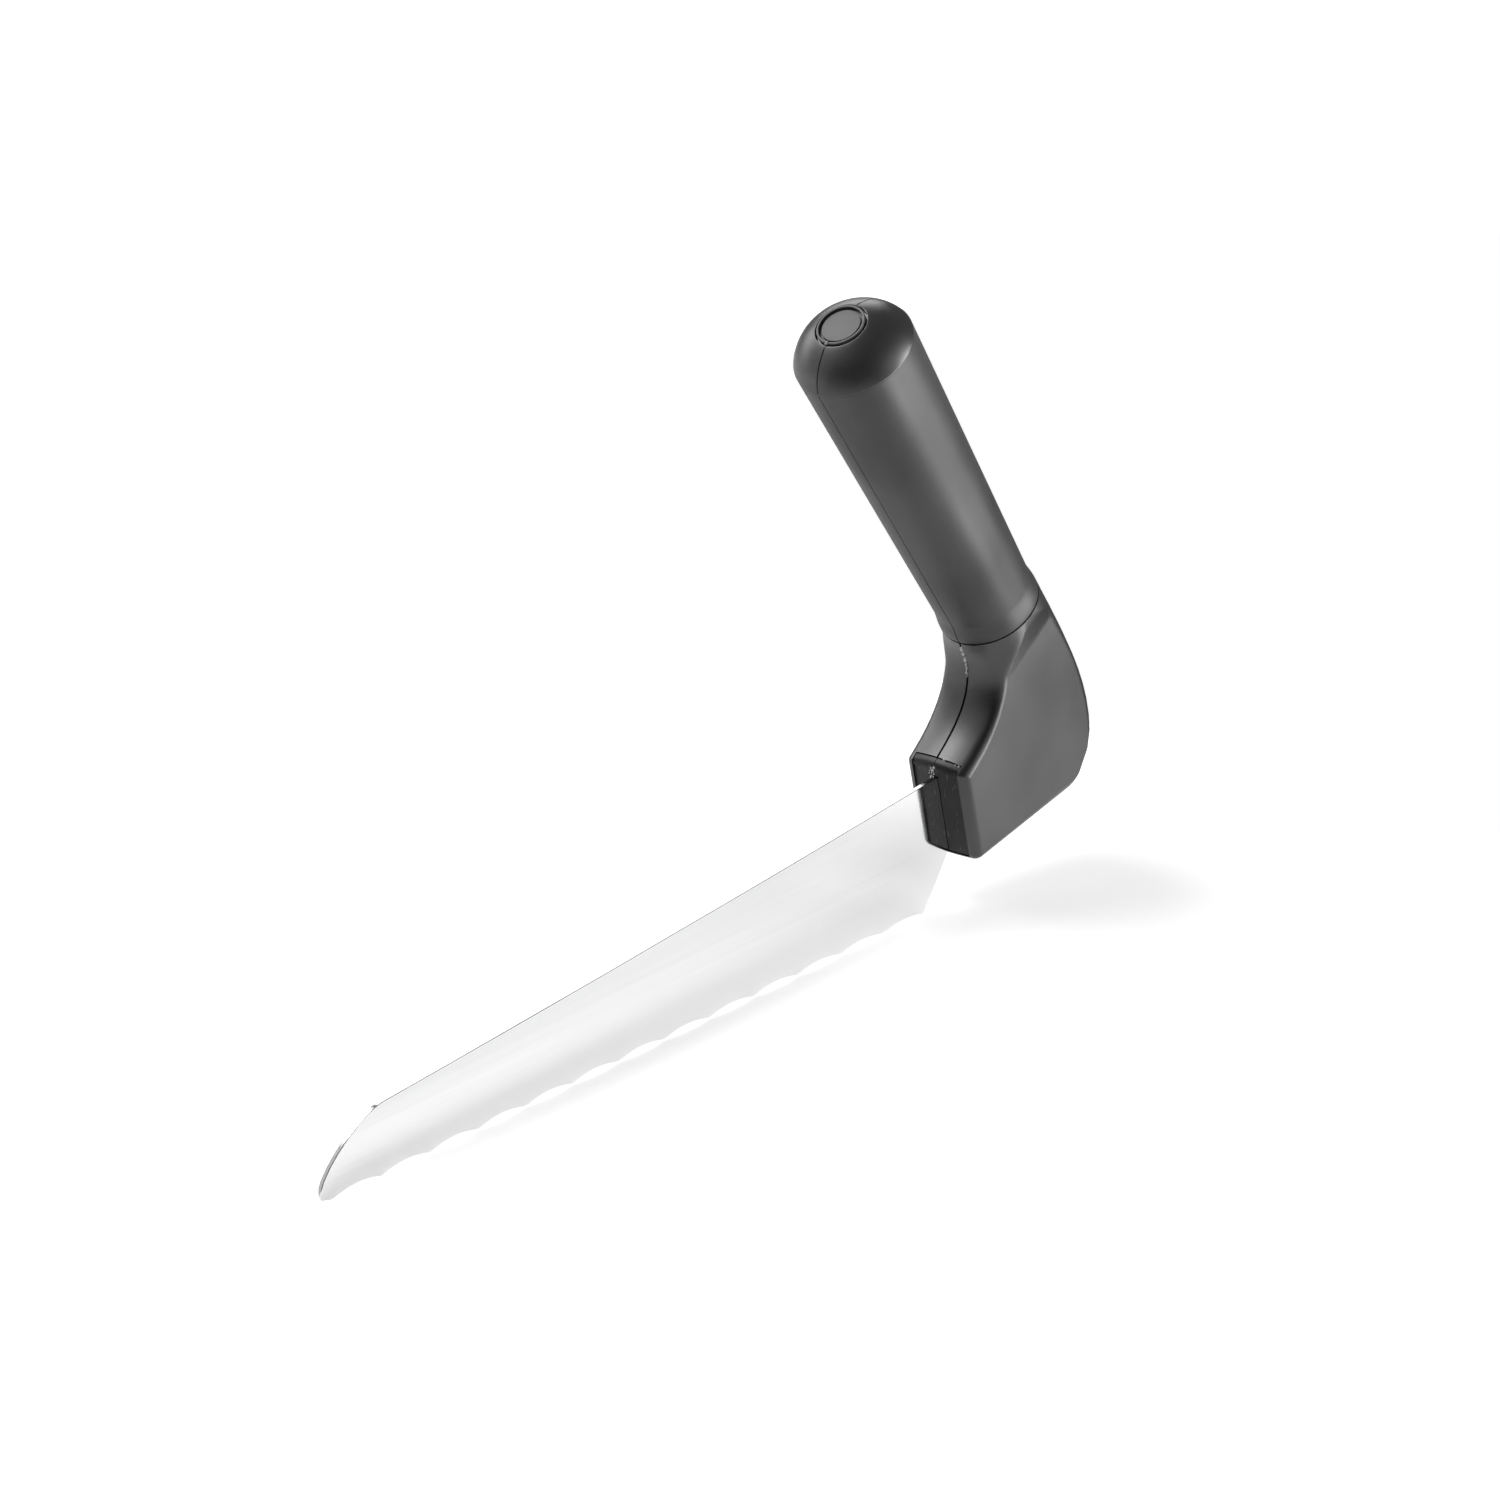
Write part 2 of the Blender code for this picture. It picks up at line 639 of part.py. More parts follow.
def neck_rings():
    """Sections of the neck on planes that fan out from the underside to the collar."""
    pivot = fan_pivot()
    collar_angle = fan_angle(pivot, COLLAR)
    top_angle = fan_angle(pivot, FRONT_TOP)
    under_angle = fan_angle(pivot, FRONT_BOTTOM)
    flat_angle = collar_angle - SHOULDER_FALL
    edge_fan = 2 * FRONT_TOP_RADIUS / (FRONT_TOP - pivot).length
    low_fan = NECK_FILLET / (FRONT_BOTTOM - pivot).length
    stops = [
        (collar_angle, flat_angle, 9),
        (flat_angle, top_angle + edge_fan, 10),
        (top_angle + edge_fan, top_angle - edge_fan, 4),
        (top_angle - edge_fan, under_angle + low_fan, 7),
    ]
    sections = []
    for high, low, steps in stops:
        for index in range(steps):
            sections.append((high + (low - high) * index / steps, 0.0))
    for index in range(CORNER_STEPS + 1):
        turn = pi / 2 * index / CORNER_STEPS
        sections.append((under_angle + low_fan * (1 - sin(turn)), turn))
    first = HALF_GAP + GROOVE_FLARE
    rings = []
    for angle, turn in sections:
        share = (collar_angle - angle) / SHOULDER_FALL
        half_width = eased(COLLAR_RADIUS, HALF_NECK, share) - NECK_FILLET * (1 - cos(turn))
        shrink = smooth_share(share) * max(cos(turn), 1 / 8)
        front, back = [], []
        outs = [first]
        for index in range(1, WIDTH_STEPS + 1):
            outs.append(half_width * sin(pi / 2 * index / WIDTH_STEPS))
        for out in outs:
            marks = (collar_angle, top_angle, under_angle)
            ahead, behind = neck_point(pivot, angle, out, half_width, shrink, marks)
            front.append((ahead.x, out, ahead.y))
            back.append((behind.x, out, behind.y))
        along = (Vector(back[0]) - Vector(front[0])).normalized() * GROOVE_DEPTH
        for side, shift in ((front, along), (back, -along)):
            groove = Vector(side[0]) + shift
            side.insert(0, (groove.x, HALF_GAP, groove.z))
        rings.append(front + back[::-1])
    return rings


def make_neck_shell(side, name, cutter_list, parts):
    """One moulded half of the neck, lofted from the round collar to the flat block."""
    loops = [[(x, side * y, z) for x, y, z in ring] for ring in neck_rings()]
    item = lofted(name, loops, True, hard_plastic(name), parts)
    for cutter in cutter_list:
        cut(item, cutter)
    return item


def peg_places():
    """Centres of the pegs that line up the two halves of the neck."""
    back_x = FRONT_BOTTOM.x + NECK_DEPTH
    rear = tang_corners(0.0)[1].x + BLOCK_MARGIN
    middle = (rear + back_x) / 2
    roof = HEEL_HEIGHT + BLOCK_ROOF
    step = (COLLAR_HEIGHT - roof) / 4
    return [
        Vector((middle, HEEL_HEIGHT - step / 2)),
        Vector((middle, roof + step / 2)),
        Vector((FRONT_BOTTOM.x + COLLAR_SETBACK * 0.75, roof + step)),
    ]


def pin_place():
    """Where the cross pin goes through the foot of the core."""
    return COLLAR - GRIP_UP * PIN_DEPTH


def make_neck(seat, parts, cutters):
    """Both halves of the neck, with the pockets for the blocks, core and pin."""
    pocket = outline_solid(
        "block_pocket",
        pocket_outline(),
        -HALF_BLOCK - CLEARANCE,
        HALF_BLOCK + CLEARANCE,
        None,
        cutters,
    )
    bore_radius = CORE_FOOT_RADIUS + CLEARANCE
    bore_depth = CORE_FOOT_LENGTH + CLEARANCE
    profile = [(0.0, REACH), (bore_radius, REACH), (bore_radius, -bore_depth), (0.0, -bore_depth)]
    bore = along_grip(turned("core_bore", profile, False, None, cutters))
    half_pin = PIN_LENGTH / 2 + CLEARANCE
    pin_hole = round_cutter(
        "pin_hole", pin_place(), PIN_RADIUS + CLEARANCE, -half_pin, half_pin, cutters
    )
    shared = [mark_cutter(pocket), seat, mark_cutter(bore), pin_hole]
    left = make_neck_shell(-1, "neck_shell_left", shared, parts)
    right = make_neck_shell(1, "neck_shell_right", shared, parts)
    for index, place in enumerate(peg_places()):
        root = -HALF_GAP - PEG_LENGTH
        peg = round_cutter(f"peg_{index}", place, PEG_RADIUS, root, PEG_LENGTH, cutters)
        socket = round_cutter(
            f"socket_{index}",
            place,
            PEG_RADIUS + CLEARANCE,
            -HALF_GAP,
            PEG_LENGTH + CLEARANCE,
            cutters,
        )
        cut(left, peg, "UNION")
        cut(right, socket)


def make_core(parts, cutters):
    """Stiff post inside the grip, with a foot that goes down into the neck."""
    edge = CORE_FOOT_RADIUS / 8
    bottom = -CORE_FOOT_LENGTH
    profile = [
        (0.0, CORE_TOP - CORE_BORE_DEPTH),
        (CORE_BORE_RADIUS, CORE_TOP - CORE_BORE_DEPTH),
        (CORE_BORE_RADIUS, CORE_TOP),
        (CORE_RADIUS - edge, CORE_TOP),
        (CORE_RADIUS, CORE_TOP - edge),
        (CORE_RADIUS, CLEARANCE),
        (CORE_FOOT_RADIUS, CLEARANCE),
        (CORE_FOOT_RADIUS, bottom + edge),
        (CORE_FOOT_RADIUS - edge, bottom),
        (0.0, bottom),
    ]
    core = along_grip(turned("grip_core", profile, False, hard_plastic("grip_core"), parts))
    hole = round_cutter(
        "core_pin_hole",
        pin_place(),
        PIN_RADIUS + CLEARANCE,
        -CORE_FOOT_RADIUS - CLEARANCE,
        CORE_FOOT_RADIUS + CLEARANCE,
        cutters,
    )
    cut(core, hole)


def make_core_pin(parts):
    """Steel cross pin through the foot of the core and both neck halves."""
    half = PIN_LENGTH / 2
    edge = PIN_RADIUS / 4
    profile = [
        (0.0, half),
        (PIN_RADIUS - edge, half),
        (PIN_RADIUS, half - edge),
        (PIN_RADIUS, edge - half),
        (PIN_RADIUS - edge, -half),
        (0.0, -half),
    ]
    pin = turned("core_pin", profile, False, steel("core_pin"), parts)
    across_knife(pin, pin_place())


def make_sleeve(parts):
    """Soft grip, wider toward its top, with a small flare where it meets the neck."""
    profile = [(SLEEVE_BORE_RADIUS, SLEEVE_LENGTH), (SLEEVE_TOP_RADIUS, SLEEVE_LENGTH)]
    profile.append((SLEEVE_BASE_RADIUS, SLEEVE_FLARE_LENGTH + CLEARANCE))
    steps = 5
    for index in range(1, steps + 1):
        share = index / steps
        height = CLEARANCE + SLEEVE_EDGE + (SLEEVE_FLARE_LENGTH - SLEEVE_EDGE) * (1 - share)
        profile.append((eased(SLEEVE_BASE_RADIUS, COLLAR_RADIUS, share), height))
    profile.append((COLLAR_RADIUS - SLEEVE_EDGE / 2, CLEARANCE))
    profile.append((SLEEVE_BORE_RADIUS, CLEARANCE))
    along_grip(turned("grip_sleeve", profile, True, soft_rubber("grip_sleeve"), parts))


def dome_height(radius):
    """Height of the dome above the grip, on an ellipse that starts below its rim."""
    tall = CAP_DOME + CAP_SINK
    wide = (SLEEVE_TOP_RADIUS - CAP_STEP) / sqrt(1 - (CAP_SINK / tall) ** 2)
    return tall * sqrt(1 - (radius / wide) ** 2) - CAP_SINK


def badge_floor():
    """Height of the floor of the badge's recess along the grip."""
    rim = SLEEVE_LENGTH + CLEARANCE + dome_height(BADGE_RADIUS + CLEARANCE)
    return rim - BADGE_THICKNESS - CLEARANCE


def make_end_cap(parts):
    """Domed cap with a recess for the badge and a spigot that plugs the core."""
    base = SLEEVE_LENGTH + CLEARANCE
    wide = SLEEVE_TOP_RADIUS - CAP_STEP
    mouth = BADGE_RADIUS + CLEARANCE
    floor = badge_floor()
    profile = [(0.0, floor), (mouth, floor)]
    steps = 12
    for index in range(steps):
        radius = mouth + (wide - mouth) * sin(pi / 2 * index / steps)
        profile.append((radius, base + dome_height(radius)))
    profile.append((wide, base))
    edge = SPIGOT_RADIUS / 8
    low = base - CAP_SPIGOT_LENGTH
    profile.append((SPIGOT_RADIUS, base))
    profile.append((SPIGOT_RADIUS, low + edge))
    profile.append((SPIGOT_RADIUS - edge, low))
    profile.append((0.0, low))
    along_grip(turned("end_cap", profile, False, soft_rubber("end_cap"), parts))


def make_badge(parts):
    """Plain disc with a raised ring, set into the end cap."""
    low = badge_floor() + CLEARANCE
    face = low + BADGE_THICKNESS
    rim = face + BADGE_RIM_HEIGHT
    inner = BADGE_RADIUS - BADGE_RIM_WIDTH
    edge = BADGE_RIM_WIDTH / 4
    profile = [
        (0.0, face),
        (inner, face),
        (inner + edge, rim),
        (BADGE_RADIUS - edge, rim),
        (BADGE_RADIUS, rim - edge),
        (BADGE_RADIUS, low),
        (0.0, low),
    ]
    along_grip(turned("end_badge", profile, False, hard_plastic("end_badge"), parts))


def make_blocks_and_rivets(seat, parts, cutters):
    """The two tang blocks and the rivets that close them on the tang."""
    make_tang_block(-1, "tang_block_left", seat, parts, cutters)
    make_tang_block(1, "tang_block_right", seat, parts, cutters)
    front, rear = rivet_places()
    make_rivet("tang_rivet_front", front, parts)
    make_rivet("tang_rivet_rear", rear, parts)


def main():
    """Build the knife."""
    clear_scene()
    parts = new_collection("angled_bread_knife")
    cutters = new_collection("cutters")
    make_blade(parts, cutters)
    seat = make_tang_seat(cutters)
    make_blocks_and_rivets(seat, parts, cutters)
    make_neck(seat, parts, cutters)
    make_core(parts, cutters)
    make_core_pin(parts)
    make_sleeve(parts)
    make_end_cap(parts)
    make_badge(parts)


main()
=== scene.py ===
"""Looks of the angled bread knife: polished blade, moulded neck, soft grip and the studio."""

from math import cos, pi, radians, sin, sqrt
from random import Random

import bmesh
import bpy
from bpy.props import FloatProperty, FloatVectorProperty, IntProperty, PointerProperty
from mathutils import Matrix, Vector


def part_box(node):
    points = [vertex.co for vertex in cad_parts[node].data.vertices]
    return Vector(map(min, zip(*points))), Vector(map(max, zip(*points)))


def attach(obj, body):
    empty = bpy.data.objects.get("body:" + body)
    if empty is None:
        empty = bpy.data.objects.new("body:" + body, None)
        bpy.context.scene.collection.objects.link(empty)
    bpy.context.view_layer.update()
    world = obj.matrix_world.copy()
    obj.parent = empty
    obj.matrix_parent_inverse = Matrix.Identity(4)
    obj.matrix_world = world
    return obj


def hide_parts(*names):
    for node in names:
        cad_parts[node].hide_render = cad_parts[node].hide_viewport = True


bl_info = {
    "name": "Angled bread knife",
    "version": (1, 0, 0),
    "blender": (4, 5, 0),
    "location": "View3D > Sidebar > Bread knife",
    "description": "Makes the visible pieces of an angled bread knife round its CAD frame",
    "category": "Object",
}

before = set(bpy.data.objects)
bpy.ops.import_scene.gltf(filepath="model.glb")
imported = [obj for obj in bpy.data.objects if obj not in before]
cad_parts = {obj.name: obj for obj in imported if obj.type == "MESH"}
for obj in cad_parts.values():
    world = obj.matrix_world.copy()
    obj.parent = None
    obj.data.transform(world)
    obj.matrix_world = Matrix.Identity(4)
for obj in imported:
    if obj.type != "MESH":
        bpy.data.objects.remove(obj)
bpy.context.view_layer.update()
BODY = "root"

# Points nearer to each other than this are one point, and faces that meet at less than this
# angle are one face
WELD = 0.000002
FLAT_ANGLE = radians(0.4)
# How far a point may lie off the face of the blade, and off the plane of a cut
FACE_TOLERANCE = 0.00001
CUT_TOLERANCE = 0.0000001
# The edges of the blade's faces are bevelled above this height, and this near to its tip
BEVEL_HEIGHT = 0.0027
BEVEL_REACH = 0.0012
# How the gaps beside the seam of the neck and beside the blade are narrowed, by distance
# from the middle plane
SEAM_LEVELS = ((0.0, 0.0), (0.00015, 0.00014), (0.00035, 0.0003), (0.0006, 0.0006))
BLOCK_LEVELS = ((0.0, 0.0), (0.0003, 0.00008), (0.0009, 0.00073), (0.0069, 0.00716))
# Roundings of the grip's foot, the rims where grip and dome meet, the mouth of the recess,
# and the disc and ring of the badge
FOOT_ROUNDING = 0.00035
RIM_ROUNDING = 0.0001
MOUTH_ROUNDING = 0.00022
DISC_ROUNDING = 0.00012
RING_ROUNDING = 0.0002
# Where the flare begins over the grip's foot, where the dome begins outside its recess, and
# the distance over which the dome's slope at the recess is taken
FLARE_START = 0.0004
DOME_START = 0.0003
SLOPE_RUN = 0.001
# Number of steps along the flare, the grip and the dome
FLARE_STEPS = 10
GRIP_STEPS = 12
DOME_STEPS = 22
# Place, spread, number and largest radius of the crumbs of flash beyond the throat
FLASH_SPOTS = (
    ((0.0803, -0.001, 0.0374), 0.001, 12, 0.0003),
    ((0.0833, -0.003, 0.0396), 0.0006, 3, 0.0003),
    ((0.0846, -0.006, 0.0384), 0.0007, 4, 0.0003),
    ((0.0442, -0.0002, 0.158), 0.0004, 4, 0.00035),
)
# Range of most values of a noise texture, range of a share, and the few values of a noise
# texture that are scratches
NOISE = (0.3, 0.7)
WHOLE = (0.0, 1.0)
SCRATCH = (0.67, 0.73)
# Name, azimuth, elevation, distance, width, height and power of each soft box, in degrees,
# metres and watts
SOFT_BOXES = (
    ("right_box", 309, 8, 1.1, 0.5, 0.45, 10.5),
    ("right_wide_box", 290, 22, 1.15, 1.4, 0.6, 2.2),
    ("left_box", 172, 42, 1.1, 0.8, 0.5, 0.4),
    ("left_low_box", 141, 20, 1.1, 0.55, 0.9, 1.0),
    ("rear_high_box", 108, 56, 1.1, 0.62, 0.42, 9.5),
    ("rear_box", 94, 24, 1.1, 0.5, 0.4, 2.5),
    ("rear_right_box", 50, 30, 1.1, 0.7, 0.5, 3.3),
    ("rear_low_box", 104, 8, 1.1, 0.5, 0.3, 0.85),
)
# Name, azimuth, distance, depth, width and power of each bounce panel, and their height
BOUNCE_PANELS = (
    ("far_bounce", 298, 0.65, 0.34, 0.3, 4.0),
    ("near_bounce", 295, 0.22, 0.14, 0.1, 0.33),
    ("right_bounce", 322, 0.38, 0.2, 0.17, 0.25),
)
BOUNCE_HEIGHT = 0.004
# Middle, turn, half length and half width of each zone of the floor, and how much of it is even
# before it fades. The first four zones are painted reflection: there the floor glows to reflection
# rays only, and the foot and handle zones paint out the knife's shadow in the blade's and neck's
# reflections. In the two shadow zones the camera sees the lamps' real shadow, and elsewhere plain
# white.
PAINTED_REFLECTION_NEAR = ((0.02, -0.16), 0, 0.36, 0.3, 0.6)
PAINTED_REFLECTION_FOOT = ((0.03, -0.003), 0, 0.4, 0.03, 0.25)
PAINTED_REFLECTION_LEFT = ((-0.56, 0.7), 132, 0.6, 0.28, 0.8)
PAINTED_REFLECTION_HANDLE = ((0.155, -0.055), -20, 0.1, 0.07, 0.2)
HANDLE_SHADOW = ((0.116, -0.02), -34, 0.095, 0.065, 0.1)
BLADE_SHADOW = ((-0.01, -0.002), 0, 0.19, 0.0145, 0.0)
# Middle and size of the floor, and of the dark card that lies behind the knife; the card is
# painted shade, hidden from the camera, that darkens the reflections along the back of the grip
# and neck
FLOOR = ((0.0, 0.0, -0.0002), (12.0, 12.0))
DARK_CARD = ((0.4, 0.11, 0.0), (0.4, 0.38))
# Place of the camera, its turn about each axis in degrees, its lens and sensor in mm, and
# the nearest and farthest that it sees
CAMERA_PLACE = (-1.144318, -1.036758, 0.709467)
CAMERA_TURN = (67.45373, 0.75845, -48.51306)
FOCAL_LENGTH = 170.62
SENSOR_WIDTH = 36.0
CAMERA_RANGE = (0.05, 20.0)


class GripSizes(bpy.types.PropertyGroup):
    """Sizes of the round grip, its domed end and its badge."""

    lean: FloatProperty(
        name="Lean",
        description="How far the grip leans forward over the blade",
        default=radians(32),
        subtype="ANGLE",
    )
    collar: FloatVectorProperty(
        name="Collar",
        description="Middle of the joint between the grip and the neck",
        default=(0.1036, 0.0, 0.0741),
        subtype="TRANSLATION",
    )
    collar_radius: FloatProperty(
        name="Collar radius",
        description="Radius of the grip where it meets the neck",
        default=0.0131,
        unit="LENGTH",
    )
    base_radius: FloatProperty(
        name="Base radius",
        description="Radius of the grip just above its flared foot",
        default=0.0126,
        unit="LENGTH",
    )
    top_radius: FloatProperty(
        name="Top radius",
        description="Radius of the grip where the dome begins",
        default=0.0152,
        unit="LENGTH",
    )
    length: FloatProperty(
        name="Length",
        description="Length of the grip from the neck to the dome",
        default=0.0938,
        unit="LENGTH",
    )
    flare_length: FloatProperty(
        name="Flare length",
        description="Length of the flared foot of the grip",
        default=0.006,
        unit="LENGTH",
    )
    bore_radius: FloatProperty(
        name="Bore radius",
        description="Radius of the hole that the stiff core fills",
        default=0.0091,
        unit="LENGTH",
    )
    gap: FloatProperty(
        name="Gap",
        description="Gap between pieces that touch",
        default=0.0003,
        unit="LENGTH",
    )
    dome_height: FloatProperty(
        name="Dome height",
        description="Height of the dome above the end of the grip, if it had no recess",
        default=0.00944,
        unit="LENGTH",
    )
    dome_sink: FloatProperty(
        name="Dome sink",
        description="How far the dome's widest level lies below its rim",
        default=0.004,
        unit="LENGTH",
    )
    recess_radius: FloatProperty(
        name="Recess radius",
        description="Radius of the recess for the badge",
        default=0.0066,
        unit="LENGTH",
    )
    recess_depth: FloatProperty(
        name="Recess depth",
        description="Depth of the recess below its mouth",
        default=0.0012,
        unit="LENGTH",
    )
    badge_radius: FloatProperty(
        name="Badge radius",
        description="Radius of the badge",
        default=0.00615,
        unit="LENGTH",
    )
    badge_rise: FloatProperty(
        name="Badge ring height",
        description="Height of the badge's raised ring over its face",
        default=0.0004,
        unit="LENGTH",
    )
    badge_depth: FloatProperty(
        name="Badge depth",
        description="How far the badge reaches into the recess",
        default=0.0009,
        unit="LENGTH",
    )
    ring_width: FloatProperty(
        name="Ring width",
        description="Width of the badge's raised ring",
        default=0.00062,
        unit="LENGTH",
    )
    groove: FloatProperty(
        name="Groove",
        description="Width and depth of the groove inside the badge's ring",
        default=0.0006,
        unit="LENGTH",
    )
    seam_width: FloatProperty(
        name="Seam width",
        description="Width of the parting line along the grip",
        default=0.00036,
        unit="LENGTH",
    )
    seam_depth: FloatProperty(
        name="Seam depth",
        description="Depth of the parting line along the grip",
        default=0.0003,
        unit="LENGTH",
    )
    steps: IntProperty(
        name="Steps",
        description="Faces round the grip",
        default=160,
        min=24,
    )


class EdgeSizes(bpy.types.PropertyGroup):
    """The bevel of the blade's edges and the smooth shading of the pieces."""

    blade_edge: FloatProperty(
        name="Blade edge",
        description="Width of the bevel on the spine, nose and heel of the blade",
        default=0.00013,
        unit="LENGTH",
    )
    bevel_angle: FloatProperty(
        name="Bevel angle",
        description="Only edges that are sharper than this angle are bevelled",
        default=radians(50),
        subtype="ANGLE",
    )
    smooth_angle: FloatProperty(
        name="Smooth angle",
        description="Faces that meet at less than this angle are shaded as one surface",
        default=radians(42),
        subtype="ANGLE",
    )


class FlashSizes(bpy.types.PropertyGroup):
    """The crumbs of flash that moulding left along the seam of the throat."""

    low: FloatProperty(
        name="Low end",
        description="Height at which the flash on the throat begins",
        default=0.0575,
        unit="LENGTH",
    )
    high: FloatProperty(
        name="High end",
        description="Height at which the flash on the throat ends",
        default=0.0665,
        unit="LENGTH",
    )
    beads: IntProperty(
        name="Beads",
        description="Number of crumbs of flash along the throat",
        default=26,
        min=0,
    )
    bead_radius: FloatProperty(
        name="Bead radius",
        description="Radius of the largest crumb of flash",
        default=0.0005,
        unit="LENGTH",
    )
    spread: FloatProperty(
        name="Spread",
        description="How far the crumbs lie to either side of the seam",
        default=0.00025,
        unit="LENGTH",
    )
    seed: IntProperty(
        name="Seed",
        description="Start of the random numbers that place the crumbs",
        default=7,
    )


class KnifeColours(bpy.types.PropertyGroup):
    """Base colours of the finishes."""

    steel: FloatVectorProperty(
        name="Steel",
        description="Colour of the polished blade",
        default=(0.86, 0.86, 0.865),
        subtype="COLOR",
    )
    neck: FloatVectorProperty(
        name="Neck",
        description="Colour of the moulded neck",
        default=(0.01, 0.0098, 0.0098),
        subtype="COLOR",
    )
    block: FloatVectorProperty(
        name="Blocks",
        description="Colour of the tang blocks",
        default=(0.008, 0.008, 0.0081),
        subtype="COLOR",
    )
    grip: FloatVectorProperty(
        name="Grip",
        description="Colour of the soft grip",
        default=(0.018, 0.018, 0.018),
        subtype="COLOR",
    )
    dome: FloatVectorProperty(
        name="Dome",
        description="Colour of the domed end",
        default=(0.03, 0.03, 0.03),
        subtype="COLOR",
    )
    badge: FloatVectorProperty(
        name="Badge",
        description="Colour of the badge",
        default=(0.075, 0.075, 0.075),
        subtype="COLOR",
    )
    fastener: FloatVectorProperty(
        name="Fasteners",
        description="Colour of the rivets and the pin",
        default=(0.62, 0.62, 0.63),
        subtype="COLOR",
    )
    # Painted glints: the crumbs of flash are real, but are coloured light grey to stand in for
    # their highlights.
    flash: FloatVectorProperty(
        name="Flash",
        description="Colour of the moulding flash",
        default=(0.55, 0.55, 0.55),
        subtype="COLOR",
    )


class StageSettings(bpy.types.PropertyGroup):
    """The floor and how strongly it is lit."""

    floor: FloatVectorProperty(
        name="Floor",
        description="Colour of the studio floor",
        default=(0.72, 0.72, 0.72),
        subtype="COLOR",
    )
    level: FloatProperty(
        name="Light level",
        description="Strength of all the lamps together",
        default=1.0,
        min=0.0,
    )
    lamp_aim: FloatVectorProperty(
        name="Lamp aim",
        description="Point that the lamps face",
        default=(0.06, 0.0, 0.07),
        subtype="TRANSLATION",
    )
    floor_glow: FloatProperty(
        name="Floor glow",
        description="Added brightness of the floor where the knife's shadow falls, to the camera",
        default=0.68,
        min=0.0,
    )
    # Painted reflection: this glow and the foot, handle and left glows below brighten the floor
    # only where the knife reflects it.
    mirror_glow: FloatProperty(
        name="Mirror glow",
        description="Added brightness of the floor round the knife, in reflections",
        default=0.32,
        min=0.0,
    )
    shadow_share: FloatProperty(
        name="Shadow share",
        description="Share of the floor's own colour that is left to the camera",
        default=0.5,
        min=0.0,
        max=1.0,
        subtype="FACTOR",
    )
    # Painted reflection: the foot and handle glows fill in the knife's shadow in reflections, and
    # the left glow brightens the far floor in them.
    foot_glow: FloatProperty(
        name="Foot glow",
        description="Further brightness of the floor at the foot of the blade, in reflections",
        default=0.25,
        min=0.0,
    )
    handle_glow: FloatProperty(
        name="Handle glow",
        description="Further brightness of the floor beside the neck, in reflections",
        default=0.36,
        min=0.0,
    )
    left_glow: FloatProperty(
        name="Left glow",
        description="Added brightness of the floor far to the left, in reflections",
        default=0.5,
        min=0.0,
    )
    # Painted shade: the card is hidden from the camera and only darkens what the knife reflects
    # and the light bounced on to it.
    card: FloatVectorProperty(
        name="Dark card",
        description="Colour of the card that darkens the reflections along the back",
        default=(0.01, 0.01, 0.01),
        subtype="COLOR",
    )
    room_light: FloatProperty(
        name="Room light",
        description="Brightness of the room beyond the lamps",
        default=0.03,
        min=0.0,
    )


